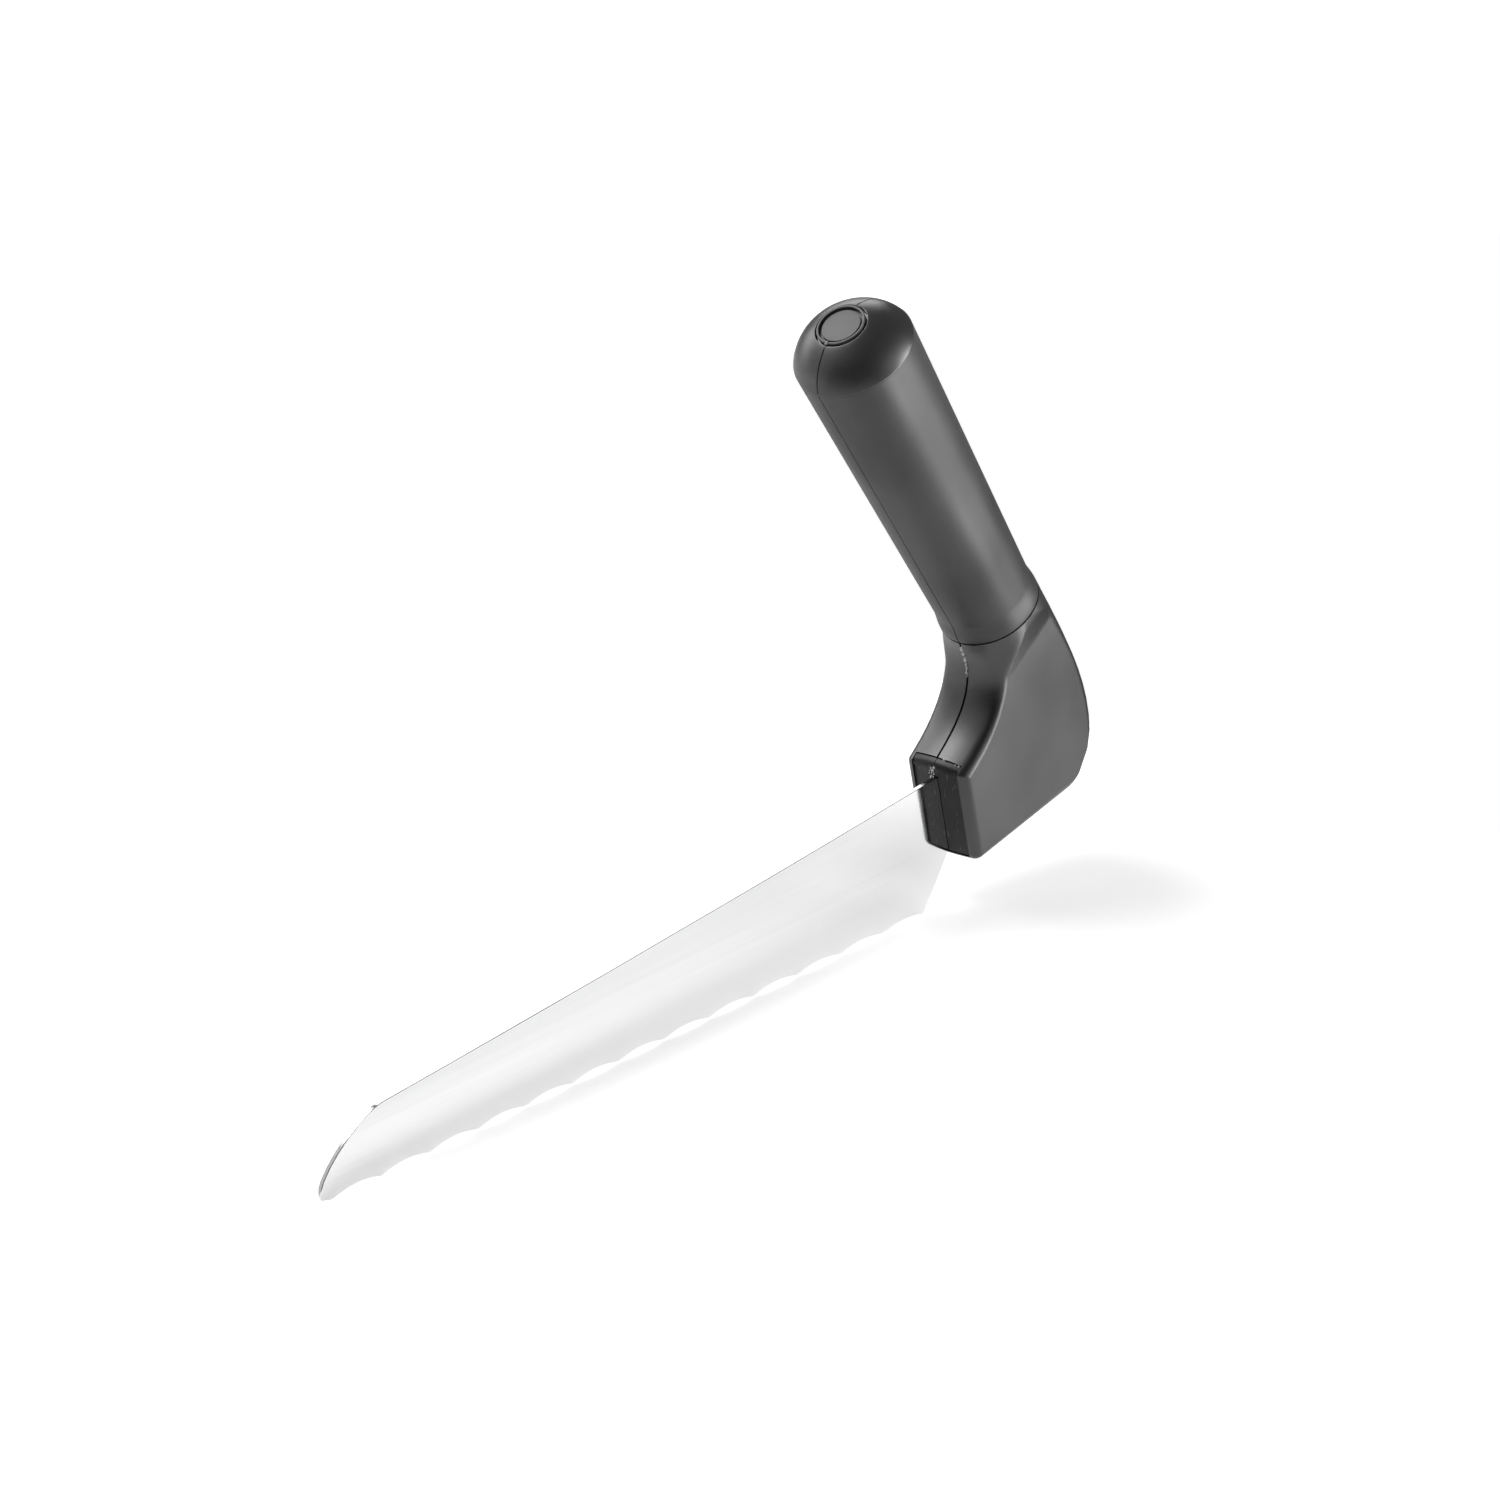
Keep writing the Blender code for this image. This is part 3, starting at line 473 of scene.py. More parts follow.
class Finish:
    """A Principled material on Object coordinates, built up step by step."""

    def __init__(self, name, colour, roughness, metallic=0.0):
        self.material = bpy.data.materials.new(name)
        self.material.use_nodes = True
        self.material.diffuse_color = (*colour, 1.0)
        self.tree = self.material.node_tree
        self.shader = self.tree.nodes["Principled BSDF"]
        self.shader.inputs["Base Color"].default_value = (*colour, 1.0)
        self.shader.inputs["Roughness"].default_value = roughness
        self.shader.inputs["Metallic"].default_value = metallic
        self.place = self.tree.nodes.new("ShaderNodeTexCoord").outputs["Object"]
        self.colour = colour
        self.normal = None

    def node(self, kind, **settings):
        """Add a node and set its properties."""
        item = self.tree.nodes.new(kind)
        for key, value in settings.items():
            setattr(item, key, value)
        return item

    def link(self, source, target):
        """Join two sockets."""
        self.tree.links.new(source, target)

    def stretched(self, scale, turn=(0.0, 0.0, 0.0)):
        """Object coordinates, turned and scaled."""
        mapping = self.node("ShaderNodeMapping")
        mapping.inputs["Rotation"].default_value = turn
        mapping.inputs["Scale"].default_value = scale
        self.link(self.place, mapping.inputs["Vector"])
        return mapping.outputs["Vector"]

    def noise(self, place, scale=1.0, detail=2.0, rough=0.5):
        """A noise texture's value."""
        texture = self.node("ShaderNodeTexNoise")
        texture.inputs["Scale"].default_value = scale
        texture.inputs["Detail"].default_value = detail
        texture.inputs["Roughness"].default_value = rough
        self.link(place, texture.inputs["Vector"])
        return texture.outputs["Fac"]

    def remap(self, value, source, target, blend="LINEAR"):
        """Spread one range of values over another."""
        spread = self.node("ShaderNodeMapRange", clamp=True, interpolation_type=blend)
        for name, number in zip(("From Min", "From Max", "To Min", "To Max"), source + target):
            spread.inputs[name].default_value = number
        self.link(value, spread.inputs["Value"])
        return spread.outputs["Result"]

    def arithmetic(self, operation, first, second):
        """Join two values."""
        step = self.node("ShaderNodeMath", operation=operation)
        self.link(first, step.inputs[0])
        self.link(second, step.inputs[1])
        return step.outputs["Value"]

    def outside(self, zone):
        """0 well inside an oval zone of the floor, 1 beyond its rim."""
        (across, along), turn, length, width, even = zone
        mapping = self.node("ShaderNodeMapping", vector_type="TEXTURE")
        mapping.inputs["Location"].default_value = (across, along, 0.0)
        mapping.inputs["Rotation"].default_value = (0.0, 0.0, radians(turn))
        mapping.inputs["Scale"].default_value = (length, width, 1.0)
        self.link(self.place, mapping.inputs["Vector"])
        reach = self.node("ShaderNodeVectorMath", operation="LENGTH")
        self.link(mapping.outputs["Vector"], reach.inputs[0])
        return self.remap(reach.outputs["Value"], (even, 1.0), WHOLE, "SMOOTHSTEP")

    def vary_roughness(self, value, low, high):
        """Let a pattern drive the roughness between two levels."""
        self.link(self.remap(value, NOISE, (low, high)), self.shader.inputs["Roughness"])

    def vary_colour(self, value, first, last, source=NOISE):
        """Let a pattern shade the base colour from one factor of it to another."""
        ramp = self.node("ShaderNodeValToRGB")
        for stop, position, factor in zip(ramp.color_ramp.elements, source, (first, last)):
            stop.position = position
            stop.color = (*[part * factor for part in self.colour], 1.0)
        self.link(value, ramp.inputs["Fac"])
        self.link(ramp.outputs["Color"], self.shader.inputs["Base Color"])

    def bump(self, value, strength, distance):
        """Add a relief on top of those already there."""
        relief = self.node("ShaderNodeBump")
        relief.inputs["Strength"].default_value = strength
        relief.inputs["Distance"].default_value = distance
        self.link(value, relief.inputs["Height"])
        if self.normal:
            self.link(self.normal, relief.inputs["Normal"])
        self.normal = relief.outputs["Normal"]
        self.link(self.normal, self.shader.inputs["Normal"])


def polished_steel(name, colour, half_thickness):
    """Mirror polish with faint lengthwise lines and traces of wiping, and satin ground faces."""
    finish = Finish(name, colour, roughness=0.09, metallic=1.0)
    lines = finish.noise(finish.stretched((18.0, 600.0, 900.0)), detail=3.0)
    cloud = finish.noise(finish.stretched((30.0, 30.0, 60.0)), detail=4.0, rough=0.6)
    split = finish.node("ShaderNodeSeparateXYZ")
    finish.link(finish.place, split.inputs["Vector"])
    depth = finish.node("ShaderNodeMath", operation="ABSOLUTE")
    finish.link(split.outputs["Y"], depth.inputs[0])
    ground_to_flat = (half_thickness * 0.9, half_thickness * 0.97)
    flat = finish.remap(depth.outputs["Value"], ground_to_flat, WHOLE)
    ground = finish.remap(flat, WHOLE, (0.05, 0.0))
    polish = finish.remap(cloud, NOISE, (0.06, 0.13))
    finish.link(finish.arithmetic("ADD", ground, polish), finish.shader.inputs["Roughness"])
    streaks = finish.remap(lines, NOISE, (0.85, 1.0))
    finish.vary_colour(finish.arithmetic("MULTIPLY", flat, streaks), 0.8, 1.0, WHOLE)
    finish.bump(lines, strength=0.06, distance=0.00002)
    return finish.material


def satin_steel(name, colour):
    """Plain turned steel of the rivets and the pin."""
    finish = Finish(name, colour, roughness=0.3, metallic=1.0)
    finish.vary_roughness(finish.noise(finish.place, scale=900.0, detail=3.0), 0.25, 0.38)
    return finish.material


def moulded_plastic(name, colour, roughness, grain, gloss=0.5, scratches=False):
    """Satin plastic with a fine mould grain, slow flow marks and rubbed patches."""
    finish = Finish(name, colour, roughness)
    flow = finish.noise(finish.stretched((55.0, 55.0, 28.0)), detail=3.0, rough=0.55)
    sheen = finish.noise(finish.stretched((34.0, 34.0, 26.0)))
    fine = finish.noise(finish.place, scale=5200.0)
    specular = finish.remap(sheen, (0.34, 0.66), (gloss * 0.8, gloss * 1.2))
    finish.link(specular, finish.shader.inputs["Specular IOR Level"])
    finish.vary_roughness(flow, roughness - 0.04, roughness + 0.05)
    finish.bump(flow, strength=0.15, distance=0.0006)
    finish.bump(fine, strength=grain, distance=0.00004)
    if scratches:
        upright = finish.stretched((1500.0, 1500.0, 60.0), turn=(0.0, 0.2, 0.0))
        marks = finish.noise(upright, detail=1.0)
        finish.vary_colour(marks, 1.0, 9.0, SCRATCH)
        finish.bump(finish.remap(marks, SCRATCH, WHOLE), strength=0.6, distance=0.00006)
    else:
        finish.vary_colour(flow, 0.9, 1.1)
    return finish.material


def merged_mesh(node):
    """A CAD node's shape as one closed mesh, its flat faces joined up."""
    work = bmesh.new()
    work.from_mesh(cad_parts[node].data)
    bmesh.ops.remove_doubles(work, verts=work.verts, dist=WELD)
    bmesh.ops.dissolve_limit(work, angle_limit=FLAT_ANGLE, verts=work.verts, edges=work.edges)
    return work


def finished_piece(name, work, material, edges):
    """Turn a bmesh into a smooth shaded object that rides on the knife."""
    mesh = bpy.data.meshes.new(name)
    work.to_mesh(mesh)
    work.free()
    facets = mesh.attributes.get("custom_normal")
    if facets:
        mesh.attributes.remove(facets)
    mesh.materials.append(material)
    mesh.shade_smooth()
    mesh.set_sharp_from_angle(angle=edges.smooth_angle)
    piece = bpy.data.objects.new(name, mesh)
    bpy.context.scene.collection.objects.link(piece)
    weighted = piece.modifiers.new("weighted", "WEIGHTED_NORMAL")
    weighted.keep_sharp = True
    weighted.weight = 60
    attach(piece, BODY)
    return piece


def narrow_gaps(work, levels):
    """Move points nearer to the middle plane or farther from it, by their distance from it."""
    for vert in work.verts:
        away = abs(vert.co.y)
        for (low, low_to), (high, high_to) in zip(levels, levels[1:]):
            if low < away <= high:
                moved = low_to + (high_to - low_to) * (away - low) / (high - low)
                vert.co.y = moved if vert.co.y > 0 else -moved
                break


def bevel_outline(work, edges):
    """Bevel the sharp edges of spine, nose and heel, and not those of the ground scallops."""
    low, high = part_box("blade")
    outline = []
    for edge in work.edges:
        if len(edge.link_faces) != 2 or edge.calc_face_angle() <= edges.bevel_angle:
            continue
        middle = (edge.verts[0].co + edge.verts[1].co) / 2
        across = abs(edge.verts[0].co.y - edge.verts[1].co.y)
        off_face = abs(abs(middle.y) - high.y)
        on_face = off_face < FACE_TOLERANCE and across < FACE_TOLERANCE
        unground = middle.z > BEVEL_HEIGHT or middle.x < low.x + BEVEL_REACH
        if on_face and unground:
            outline.append(edge)
    bmesh.ops.bevel(
        work,
        geom=outline,
        offset=edges.blade_edge,
        offset_type="OFFSET",
        affect="EDGES",
        segments=1,
        profile=0.5,
        material=-1,
        clamp_overlap=True,
    )


def spun_piece(profile, grip):
    """Spin a profile of (radius, height) points about the axis of the grip."""
    work = bmesh.new()
    verts = [work.verts.new((radius, 0.0, height)) for radius, height in profile]
    for first, second in zip(verts, verts[1:] + verts[:1]):
        work.edges.new((first, second))
    bmesh.ops.spin(
        work,
        geom=work.verts[:] + work.edges[:],
        cent=(0, 0, 0),
        axis=(0, 0, 1),
        angle=2 * pi,
        steps=grip.steps,
        use_merge=True,
        use_duplicate=False,
    )
    bmesh.ops.remove_doubles(work, verts=work.verts, dist=WELD)
    bmesh.ops.recalc_face_normals(work, faces=work.faces)
    return work


def cut_seam(work, grip, keep):
    """Sink a fine parting line into the front and back of a turned piece."""
    half = grip.seam_width / 2
    for offset in (-half, 0.0, half):
        bmesh.ops.bisect_plane(
            work,
            geom=work.verts[:] + work.edges[:] + work.faces[:],
            dist=CUT_TOLERANCE,
            plane_co=(0, offset, 0),
            plane_no=(0, 1, 0),
        )
    work.normal_update()
    for vert in work.verts:
        radius = Vector((vert.co.x, vert.co.y)).length
        if abs(vert.co.y) < WELD and keep(radius, vert.co.z):
            vert.co -= vert.normal * grip.seam_depth


def stand_on_collar(work, grip):
    """Move a piece that was made about Z on to the collar, along the grip."""
    turn = Matrix.Rotation(-grip.lean, 4, "Y")
    bmesh.ops.transform(work, matrix=Matrix.Translation(grip.collar) @ turn, verts=work.verts)


def dome_level(radius, grip):
    """Height of the dome over the end of the grip at a radius."""
    tall = grip.dome_height + grip.dome_sink
    rim = grip.top_radius
    wide = rim / sqrt(1 - (grip.dome_sink / tall) ** 2)
    return tall * sqrt(1 - (radius / wide) ** 2) - grip.dome_sink


def rounded(corner, before, after, radius, steps=4):
    """Points of a curve that rounds a corner of a profile."""
    corner, before, after = Vector(corner), Vector(before), Vector(after)
    start = corner + (before - corner).normalized() * radius
    end = corner + (after - corner).normalized() * radius
    points = []
    for index in range(steps + 1):
        share = index / steps
        first, last = start.lerp(corner, share), corner.lerp(end, share)
        points.append(tuple(first.lerp(last, share)))
    return points


class BREADKNIFE_OT_blade(bpy.types.Operator):
    """Polish the scalloped blade and break its sharp edges"""

    bl_idname = "bread_knife.blade"
    bl_label = "Blade"

    def execute(self, context):
        edges = context.scene.bread_knife_edges
        colours = context.scene.bread_knife_colours
        work = merged_mesh("blade")
        bevel_outline(work, edges)
        _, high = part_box("blade")
        steel = polished_steel("polished_steel", colours.steel, half_thickness=high.y)
        blade = finished_piece("blade_polished", work, steel, edges)
        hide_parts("blade")
        return {"FINISHED"}


class BREADKNIFE_OT_neck(bpy.types.Operator):
    """Smooth the two moulded halves of the neck"""

    bl_idname = "bread_knife.neck"
    bl_label = "Neck"

    def execute(self, context):
        edges = context.scene.bread_knife_edges
        colours = context.scene.bread_knife_colours
        plastic = moulded_plastic(
            "neck_satin", colours.neck, roughness=0.37, grain=0.25, gloss=0.84
        )
        for side in ("left", "right"):
            work = merged_mesh(f"neck_shell_{side}")
            narrow_gaps(work, SEAM_LEVELS)
            half = finished_piece(f"neck_half_{side}", work, plastic, edges)
            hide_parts(f"neck_shell_{side}")
        return {"FINISHED"}


class BREADKNIFE_OT_blocks(bpy.types.Operator):
    """Finish the two tang blocks that show in the front of the neck"""

    bl_idname = "bread_knife.blocks"
    bl_label = "Tang blocks"

    def execute(self, context):
        edges = context.scene.bread_knife_edges
        colours = context.scene.bread_knife_colours
        plastic = moulded_plastic(
            "block_satin", colours.block, roughness=0.4, grain=0.2, gloss=0.3, scratches=True
        )
        for side in ("left", "right"):
            work = merged_mesh(f"tang_block_{side}")
            narrow_gaps(work, BLOCK_LEVELS)
            block = finished_piece(f"tang_insert_{side}", work, plastic, edges)
            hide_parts(f"tang_block_{side}")
        return {"FINISHED"}


class BREADKNIFE_OT_grip(bpy.types.Operator):
    """Turn the soft grip with its flared foot and parting line"""

    bl_idname = "bread_knife.grip"
    bl_label = "Grip"

    def execute(self, context):
        grip = context.scene.bread_knife_grip
        edges = context.scene.bread_knife_edges
        colours = context.scene.bread_knife_colours
        foot = grip.gap
        flare_top = foot + grip.flare_length
        bore = (grip.bore_radius, foot)
        lip = (grip.collar_radius, foot)
        top = (grip.top_radius, grip.length)
        inner_top = (grip.bore_radius, grip.length)
        profile = [inner_top, bore]
        profile += rounded(lip, bore, (grip.collar_radius, flare_top), FOOT_ROUNDING)
        for index in range(1, FLARE_STEPS + 1):
            share = index / FLARE_STEPS
            ease = share * share * (3 - 2 * share)
            radius = grip.collar_radius + (grip.base_radius - grip.collar_radius) * ease
            climb = FLARE_START + (grip.flare_length - FLARE_START) * share
            profile.append((radius, foot + climb))
        for index in range(1, GRIP_STEPS):
            share = index / GRIP_STEPS
            radius = grip.base_radius + (grip.top_radius - grip.base_radius) * share
            profile.append((radius, flare_top + (grip.length - flare_top) * share))
        profile += rounded(top, profile[-1], inner_top, RIM_ROUNDING)
        work = spun_piece(profile, grip)
        wall_middle = (grip.bore_radius + grip.base_radius) / 2
        cut_seam(work, grip, lambda radius, height: radius > wall_middle)
        stand_on_collar(work, grip)
        soft = moulded_plastic(
            "grip_soft_skin", colours.grip, roughness=0.44, grain=0.3, gloss=0.58
        )
        skin = finished_piece("grip_skin", work, soft, edges)
        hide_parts("grip_sleeve")
        return {"FINISHED"}


class BREADKNIFE_OT_dome(bpy.types.Operator):
    """Turn the domed end of the grip, with the recess for the badge"""

    bl_idname = "bread_knife.dome"
    bl_label = "Dome"

    def execute(self, context):
        grip = context.scene.bread_knife_grip
        edges = context.scene.bread_knife_edges
        colours = context.scene.bread_knife_colours
        crease = grip.gap / 5
        base = grip.length + crease
        level = grip.length + grip.gap
        rim = grip.top_radius
        recess = grip.recess_radius
        mouth = level + dome_level(recess, grip)
        floor = mouth - grip.recess_depth
        beyond = (recess + SLOPE_RUN, level + dome_level(recess + SLOPE_RUN, grip))
        profile = [(0.0, base), (0.0, floor), (recess, floor)]
        profile += rounded((recess, mouth), profile[-1], beyond, MOUTH_ROUNDING)
        inner = recess + DOME_START
        for index in range(1, DOME_STEPS):
            radius = inner + (rim - inner) * sin(pi / 2 * index / DOME_STEPS)
            profile.append((radius, level + dome_level(radius, grip)))
        profile += rounded((rim, level), profile[-1], (rim, base), RIM_ROUNDING)
        profile.append((rim, base))
        work = spun_piece(profile, grip)
        cut_seam(work, grip, lambda radius, height: height > level and radius > inner)
        stand_on_collar(work, grip)
        soft = moulded_plastic(
            "dome_soft_skin", colours.dome, roughness=0.38, grain=0.3, gloss=0.79
        )
        dome = finished_piece("grip_dome", work, soft, edges)
        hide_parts("end_cap")
        return {"FINISHED"}


class BREADKNIFE_OT_badge(bpy.types.Operator):
    """Turn the plain badge with its raised ring"""

    bl_idname = "bread_knife.badge"
    bl_label = "Badge"

    def execute(self, context):
        grip = context.scene.bread_knife_grip
        edges = context.scene.bread_knife_edges
        colours = context.scene.bread_knife_colours
        level = grip.length + grip.gap
        face = level + dome_level(grip.recess_radius, grip)
        top = face + grip.badge_rise
        edge = grip.badge_radius
        low = face - grip.badge_depth
        ring = edge - grip.ring_width
        disc = ring - grip.groove
        profile = [(0.0, low), (0.0, face)]
        profile += rounded((disc, face), (0.0, face), (disc, low), DISC_ROUNDING)
        profile += [(disc, face - grip.groove), (ring, face - grip.groove)]
        profile += rounded((ring, top), (ring, low), (edge, top), RING_ROUNDING)
        profile += rounded((edge, top), (ring, top), (edge, low), RING_ROUNDING)
        profile.append((edge, low))
        work = spun_piece(profile, grip)
        stand_on_collar(work, grip)
        plastic = moulded_plastic("badge_plastic", colours.badge, roughness=0.5, grain=1.0)
        badge = finished_piece("plain_badge", work, plastic, edges)
        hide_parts("end_badge")
        return {"FINISHED"}


class BREADKNIFE_OT_flash(bpy.types.Operator):
    """Leave crumbs of moulding flash on the throat, the blocks and the rim of the recess"""

    bl_idname = "bread_knife.flash"
    bl_label = "Flash"

    def execute(self, context):
        flash = context.scene.bread_knife_flash
        edges = context.scene.bread_knife_edges
        colours = context.scene.bread_knife_colours
        half = bpy.data.objects.get("neck_half_left")
        if half is None:
            raise RuntimeError("The neck comes before its flash.")
        chance = Random(flash.seed)
        work = bmesh.new()
        for index in range(flash.beads):
            share = (index + chance.uniform(0.0, 0.8)) / flash.beads
            height = flash.low + (flash.high - flash.low) * share
            start = Vector((0.0, -2 * flash.spread, height))
            found, place, _, _ = half.ray_cast(start, Vector((1, 0, 0)))
            if not found:
                continue
            size = flash.bead_radius * chance.uniform(0.35, 1.0)
            place.y = chance.uniform(-flash.spread, flash.spread)
            self.add_crumb(work, chance, place, size)
        for place, spread, count, radius in FLASH_SPOTS:
            for _ in range(count):
                offset = Vector([chance.uniform(-spread, spread) for _ in range(3)])
                size = radius * chance.uniform(0.4, 1.0)
                self.add_crumb(work, chance, Vector(place) + offset, size)
        # Painted glints: the flash is coloured light grey in place of its highlights, not the
        # neck's black.
        plastic = moulded_plastic("flash_glint_plastic", colours.flash, roughness=0.35, grain=0.2)
        crumbs = finished_piece("seam_flash", work, plastic, edges)
        return {"FINISHED"}

    def add_crumb(self, work, chance, centre, size):
        """One crumb, stretched at random."""
        made = bmesh.ops.create_icosphere(work, subdivisions=1, radius=size)
        wide, tall = chance.uniform(0.6, 1.2), chance.uniform(1.0, 1.9)
        stretch = Matrix.Diagonal((1.0, wide, tall, 1.0))
        bmesh.ops.transform(work, matrix=Matrix.Translation(centre) @ stretch, verts=made["verts"])


class BREADKNIFE_OT_inside(bpy.types.Operator):
    """Give the pieces inside the knife their finish"""

    bl_idname = "bread_knife.inside"
    bl_label = "Inside"

    def execute(self, context):
        colours = context.scene.bread_knife_colours
        steel = satin_steel("fastener_steel", colours.fastener)
        plastic = moulded_plastic("core_plastic", colours.grip, roughness=0.5, grain=0.3)
        for node in ("tang_rivet_front", "tang_rivet_rear", "core_pin", "grip_core"):
            finish = plastic if node == "grip_core" else steel
            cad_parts[node].material_slots[0].material = finish
        return {"FINISHED"}


class BREADKNIFE_OT_stage(bpy.types.Operator):
    """Set up the pale floor, the soft lights and the camera"""

    bl_idname = "bread_knife.stage"
    bl_label = "Stage"

    def execute(self, context):
        self.make_floor(context)
        self.make_card(context)
        self.make_world(context)
        self.make_lamps(context)
        self.make_camera(context)
        context.scene.view_settings.view_transform = "Standard"
        return {"FINISHED"}

    def add_sheet(self, context, name, middle, size):
        """A flat sheet at a height, its finish still to come."""
        work = bmesh.new()
        bmesh.ops.create_grid(work, x_segments=1, y_segments=1, size=0.5)
        bmesh.ops.scale(work, vec=(*size, 1.0), verts=work.verts)
        bmesh.ops.translate(work, vec=middle, verts=work.verts)
        mesh = bpy.data.meshes.new(name)
        work.to_mesh(mesh)
        work.free()
        sheet = bpy.data.objects.new(name, mesh)
        context.scene.collection.objects.link(sheet)
        return sheet

    def make_floor(self, context):
        """A pale sheet: white to the camera, with painted reflection light in zones near the knife
        that only reflection rays see.
        """
        stage = context.scene.bread_knife_stage
        floor = self.add_sheet(context, "floor", *FLOOR)
        finish = Finish("floor", stage.floor, roughness=0.9)
        finish.shader.inputs["Specular IOR Level"].default_value = 0.0
        rays = finish.node("ShaderNodeLightPath").outputs
        finish.vary_colour(rays["Is Camera Ray"], 1.0, stage.shadow_share, WHOLE)
        # Painted reflection: these zones glow to glossy and transmission rays only, and the foot
        # and handle zones paint out the knife's shadow there.
        seen = finish.arithmetic("MAXIMUM", rays["Is Glossy Ray"], rays["Is Transmission Ray"])
        painted_reflection = finish.remap(finish.outside(PAINTED_REFLECTION_NEAR), WHOLE, (stage.mirror_glow, 0.0))
        for zone, glow in (
            (PAINTED_REFLECTION_FOOT, stage.foot_glow),
            (PAINTED_REFLECTION_HANDLE, stage.handle_glow),
            (PAINTED_REFLECTION_LEFT, stage.left_glow),
        ):
            sheet = finish.remap(finish.outside(zone), WHOLE, (glow, 0.0))
            painted_reflection = finish.arithmetic("ADD", painted_reflection, sheet)
        painted_reflection_glow = finish.arithmetic("MULTIPLY", seen, painted_reflection)
        bare = finish.arithmetic(
            "MINIMUM", finish.outside(HANDLE_SHADOW), finish.outside(BLADE_SHADOW)
        )
        white = finish.remap(bare, WHOLE, (stage.floor_glow, 1.0))
        direct = finish.arithmetic("MULTIPLY", rays["Is Camera Ray"], white)
        emission = finish.node("ShaderNodeEmission")
        finish.link(finish.arithmetic("ADD", painted_reflection_glow, direct), emission.inputs["Strength"])
        both = finish.node("ShaderNodeAddShader")
        finish.link(finish.shader.outputs["BSDF"], both.inputs[0])
        finish.link(emission.outputs["Emission"], both.inputs[1])
        target = finish.tree.nodes["Material Output"].inputs["Surface"]
        finish.link(both.outputs["Shader"], target)
        floor.data.materials.append(finish.material)

    def make_card(self, context):
        """A dark card on the floor behind the knife, hidden from the camera: painted shade in the
        reflections along the back of the grip and neck.
        """
        card = self.add_sheet(context, "dark_card", *DARK_CARD)
        card.visible_camera = False
        finish = Finish("dark_card", context.scene.bread_knife_stage.card, roughness=0.9)
        finish.vary_roughness(finish.noise(finish.place, scale=60.0), 0.85, 0.95)
        card.data.materials.append(finish.material)

    def make_world(self, context):
        """A dim room round the lamps, white where the camera looks past the floor."""
        world = bpy.data.worlds.new("studio")
        context.scene.world = world
        world.use_nodes = True
        tree = world.node_tree
        room = tree.nodes["Background"]
        room.inputs["Color"].default_value = (1.0, 1.0, 1.0, 1.0)
        room.inputs["Strength"].default_value = context.scene.bread_knife_stage.room_light
        white = tree.nodes.new("ShaderNodeBackground")
        white.inputs["Color"].default_value = (1.0, 1.0, 1.0, 1.0)
        white.inputs["Strength"].default_value = 1.0
        seen = tree.nodes.new("ShaderNodeLightPath")
        mix = tree.nodes.new("ShaderNodeMixShader")
        tree.links.new(seen.outputs["Is Camera Ray"], mix.inputs["Fac"])
        tree.links.new(room.outputs["Background"], mix.inputs[1])
        tree.links.new(white.outputs["Background"], mix.inputs[2])
        tree.links.new(mix.outputs["Shader"], tree.nodes["World Output"].inputs["Surface"])

    def make_lamps(self, context):
        """Soft boxes round the knife and flat bounce panels on the floor beside it."""
        stage = context.scene.bread_knife_stage
        aim = Vector(stage.lamp_aim)
        for name, around, up, reach, width, height, power in SOFT_BOXES:
            tilt, turn = radians(up), radians(around)
            away = Vector((cos(tilt) * cos(turn), cos(tilt) * sin(turn), sin(tilt)))
            facing = (-away).to_track_quat("-Z", "Y").to_euler()
            place = aim + away * reach
            self.add_lamp(context, name, place, facing, (width, height), power * stage.level)
        for name, around, reach, depth, width, power in BOUNCE_PANELS:
            turn = radians(around)
            place = (aim.x + reach * cos(turn), aim.y + reach * sin(turn), BOUNCE_HEIGHT)
            upwards = (pi, 0.0, -turn)
            self.add_lamp(context, name, place, upwards, (depth, width), power * stage.level)

    def add_lamp(self, context, name, place, turn, size, power):
        """One area lamp, hidden from the camera."""
        lamp = bpy.data.lights.new(name, "AREA")
        lamp.shape = "RECTANGLE"
        lamp.size, lamp.size_y = size
        lamp.energy = power
        item = bpy.data.objects.new(name, lamp)
        context.scene.collection.objects.link(item)
        item.location = place
        item.rotation_euler = turn
        item.visible_camera = False

    def make_camera(self, context):
        """The camera at the place from which the knife was photographed."""
        lens = bpy.data.cameras.new("camera")
        lens.sensor_width = SENSOR_WIDTH
        lens.lens = FOCAL_LENGTH
        lens.clip_start, lens.clip_end = CAMERA_RANGE
        camera = bpy.data.objects.new("camera", lens)
        context.scene.collection.objects.link(camera)
        camera.location = CAMERA_PLACE
        camera.rotation_euler = [radians(angle) for angle in CAMERA_TURN]
        context.scene.camera = camera


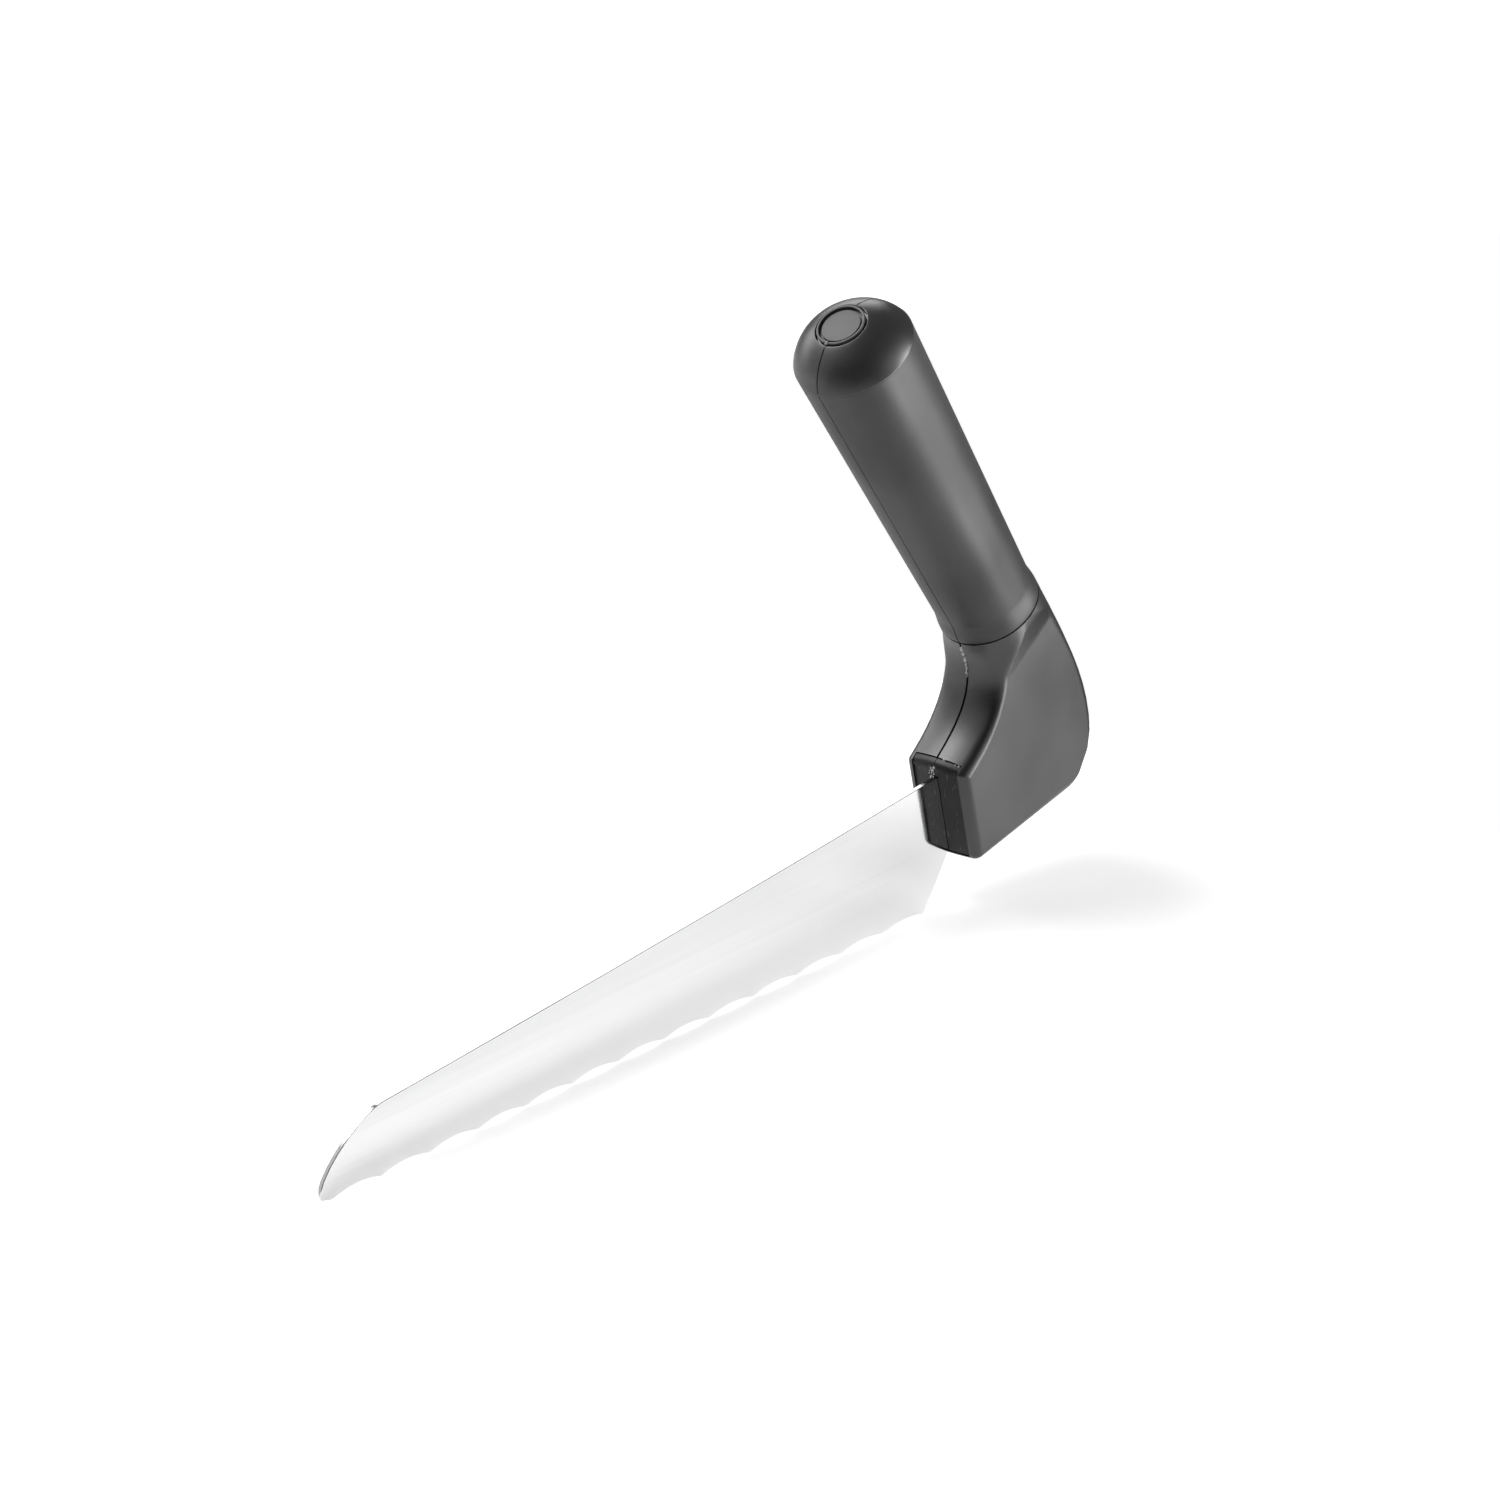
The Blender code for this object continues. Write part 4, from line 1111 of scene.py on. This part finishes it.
class BREADKNIFE_PT_panel(bpy.types.Panel):
    """Sizes, colours and steps of the bread knife"""

    bl_idname = "BREADKNIFE_PT_panel"
    bl_label = "Bread knife"
    bl_space_type = "VIEW_3D"
    bl_region_type = "UI"
    bl_category = "Bread knife"

    def draw(self, context):
        scene = context.scene
        for group in (
            scene.bread_knife_grip,
            scene.bread_knife_edges,
            scene.bread_knife_flash,
            scene.bread_knife_colours,
            scene.bread_knife_stage,
        ):
            box = self.layout.box()
            for name in group.__annotations__:
                box.prop(group, name)
        for step in STEPS:
            self.layout.operator(step.bl_idname)


STEPS = (
    BREADKNIFE_OT_blade,
    BREADKNIFE_OT_neck,
    BREADKNIFE_OT_blocks,
    BREADKNIFE_OT_grip,
    BREADKNIFE_OT_dome,
    BREADKNIFE_OT_badge,
    BREADKNIFE_OT_flash,
    BREADKNIFE_OT_inside,
    BREADKNIFE_OT_stage,
)
CLASSES = (
    GripSizes,
    EdgeSizes,
    FlashSizes,
    KnifeColours,
    StageSettings,
    *STEPS,
    BREADKNIFE_PT_panel,
)


def register():
    """Register the classes and the settings on the scene."""
    for item in CLASSES:
        bpy.utils.register_class(item)
    bpy.types.Scene.bread_knife_grip = PointerProperty(type=GripSizes)
    bpy.types.Scene.bread_knife_edges = PointerProperty(type=EdgeSizes)
    bpy.types.Scene.bread_knife_flash = PointerProperty(type=FlashSizes)
    bpy.types.Scene.bread_knife_colours = PointerProperty(type=KnifeColours)
    bpy.types.Scene.bread_knife_stage = PointerProperty(type=StageSettings)


def unregister():
    """Remove the settings and the classes."""
    del bpy.types.Scene.bread_knife_grip
    del bpy.types.Scene.bread_knife_edges
    del bpy.types.Scene.bread_knife_flash
    del bpy.types.Scene.bread_knife_colours
    del bpy.types.Scene.bread_knife_stage
    for item in reversed(CLASSES):
        bpy.utils.unregister_class(item)


def main():
    """Make every piece."""
    register()
    bpy.ops.bread_knife.blade()
    bpy.ops.bread_knife.neck()
    bpy.ops.bread_knife.blocks()
    bpy.ops.bread_knife.grip()
    bpy.ops.bread_knife.dome()
    bpy.ops.bread_knife.badge()
    bpy.ops.bread_knife.flash()
    bpy.ops.bread_knife.inside()
    bpy.ops.bread_knife.stage()


if __name__ == "__main__":
    main()
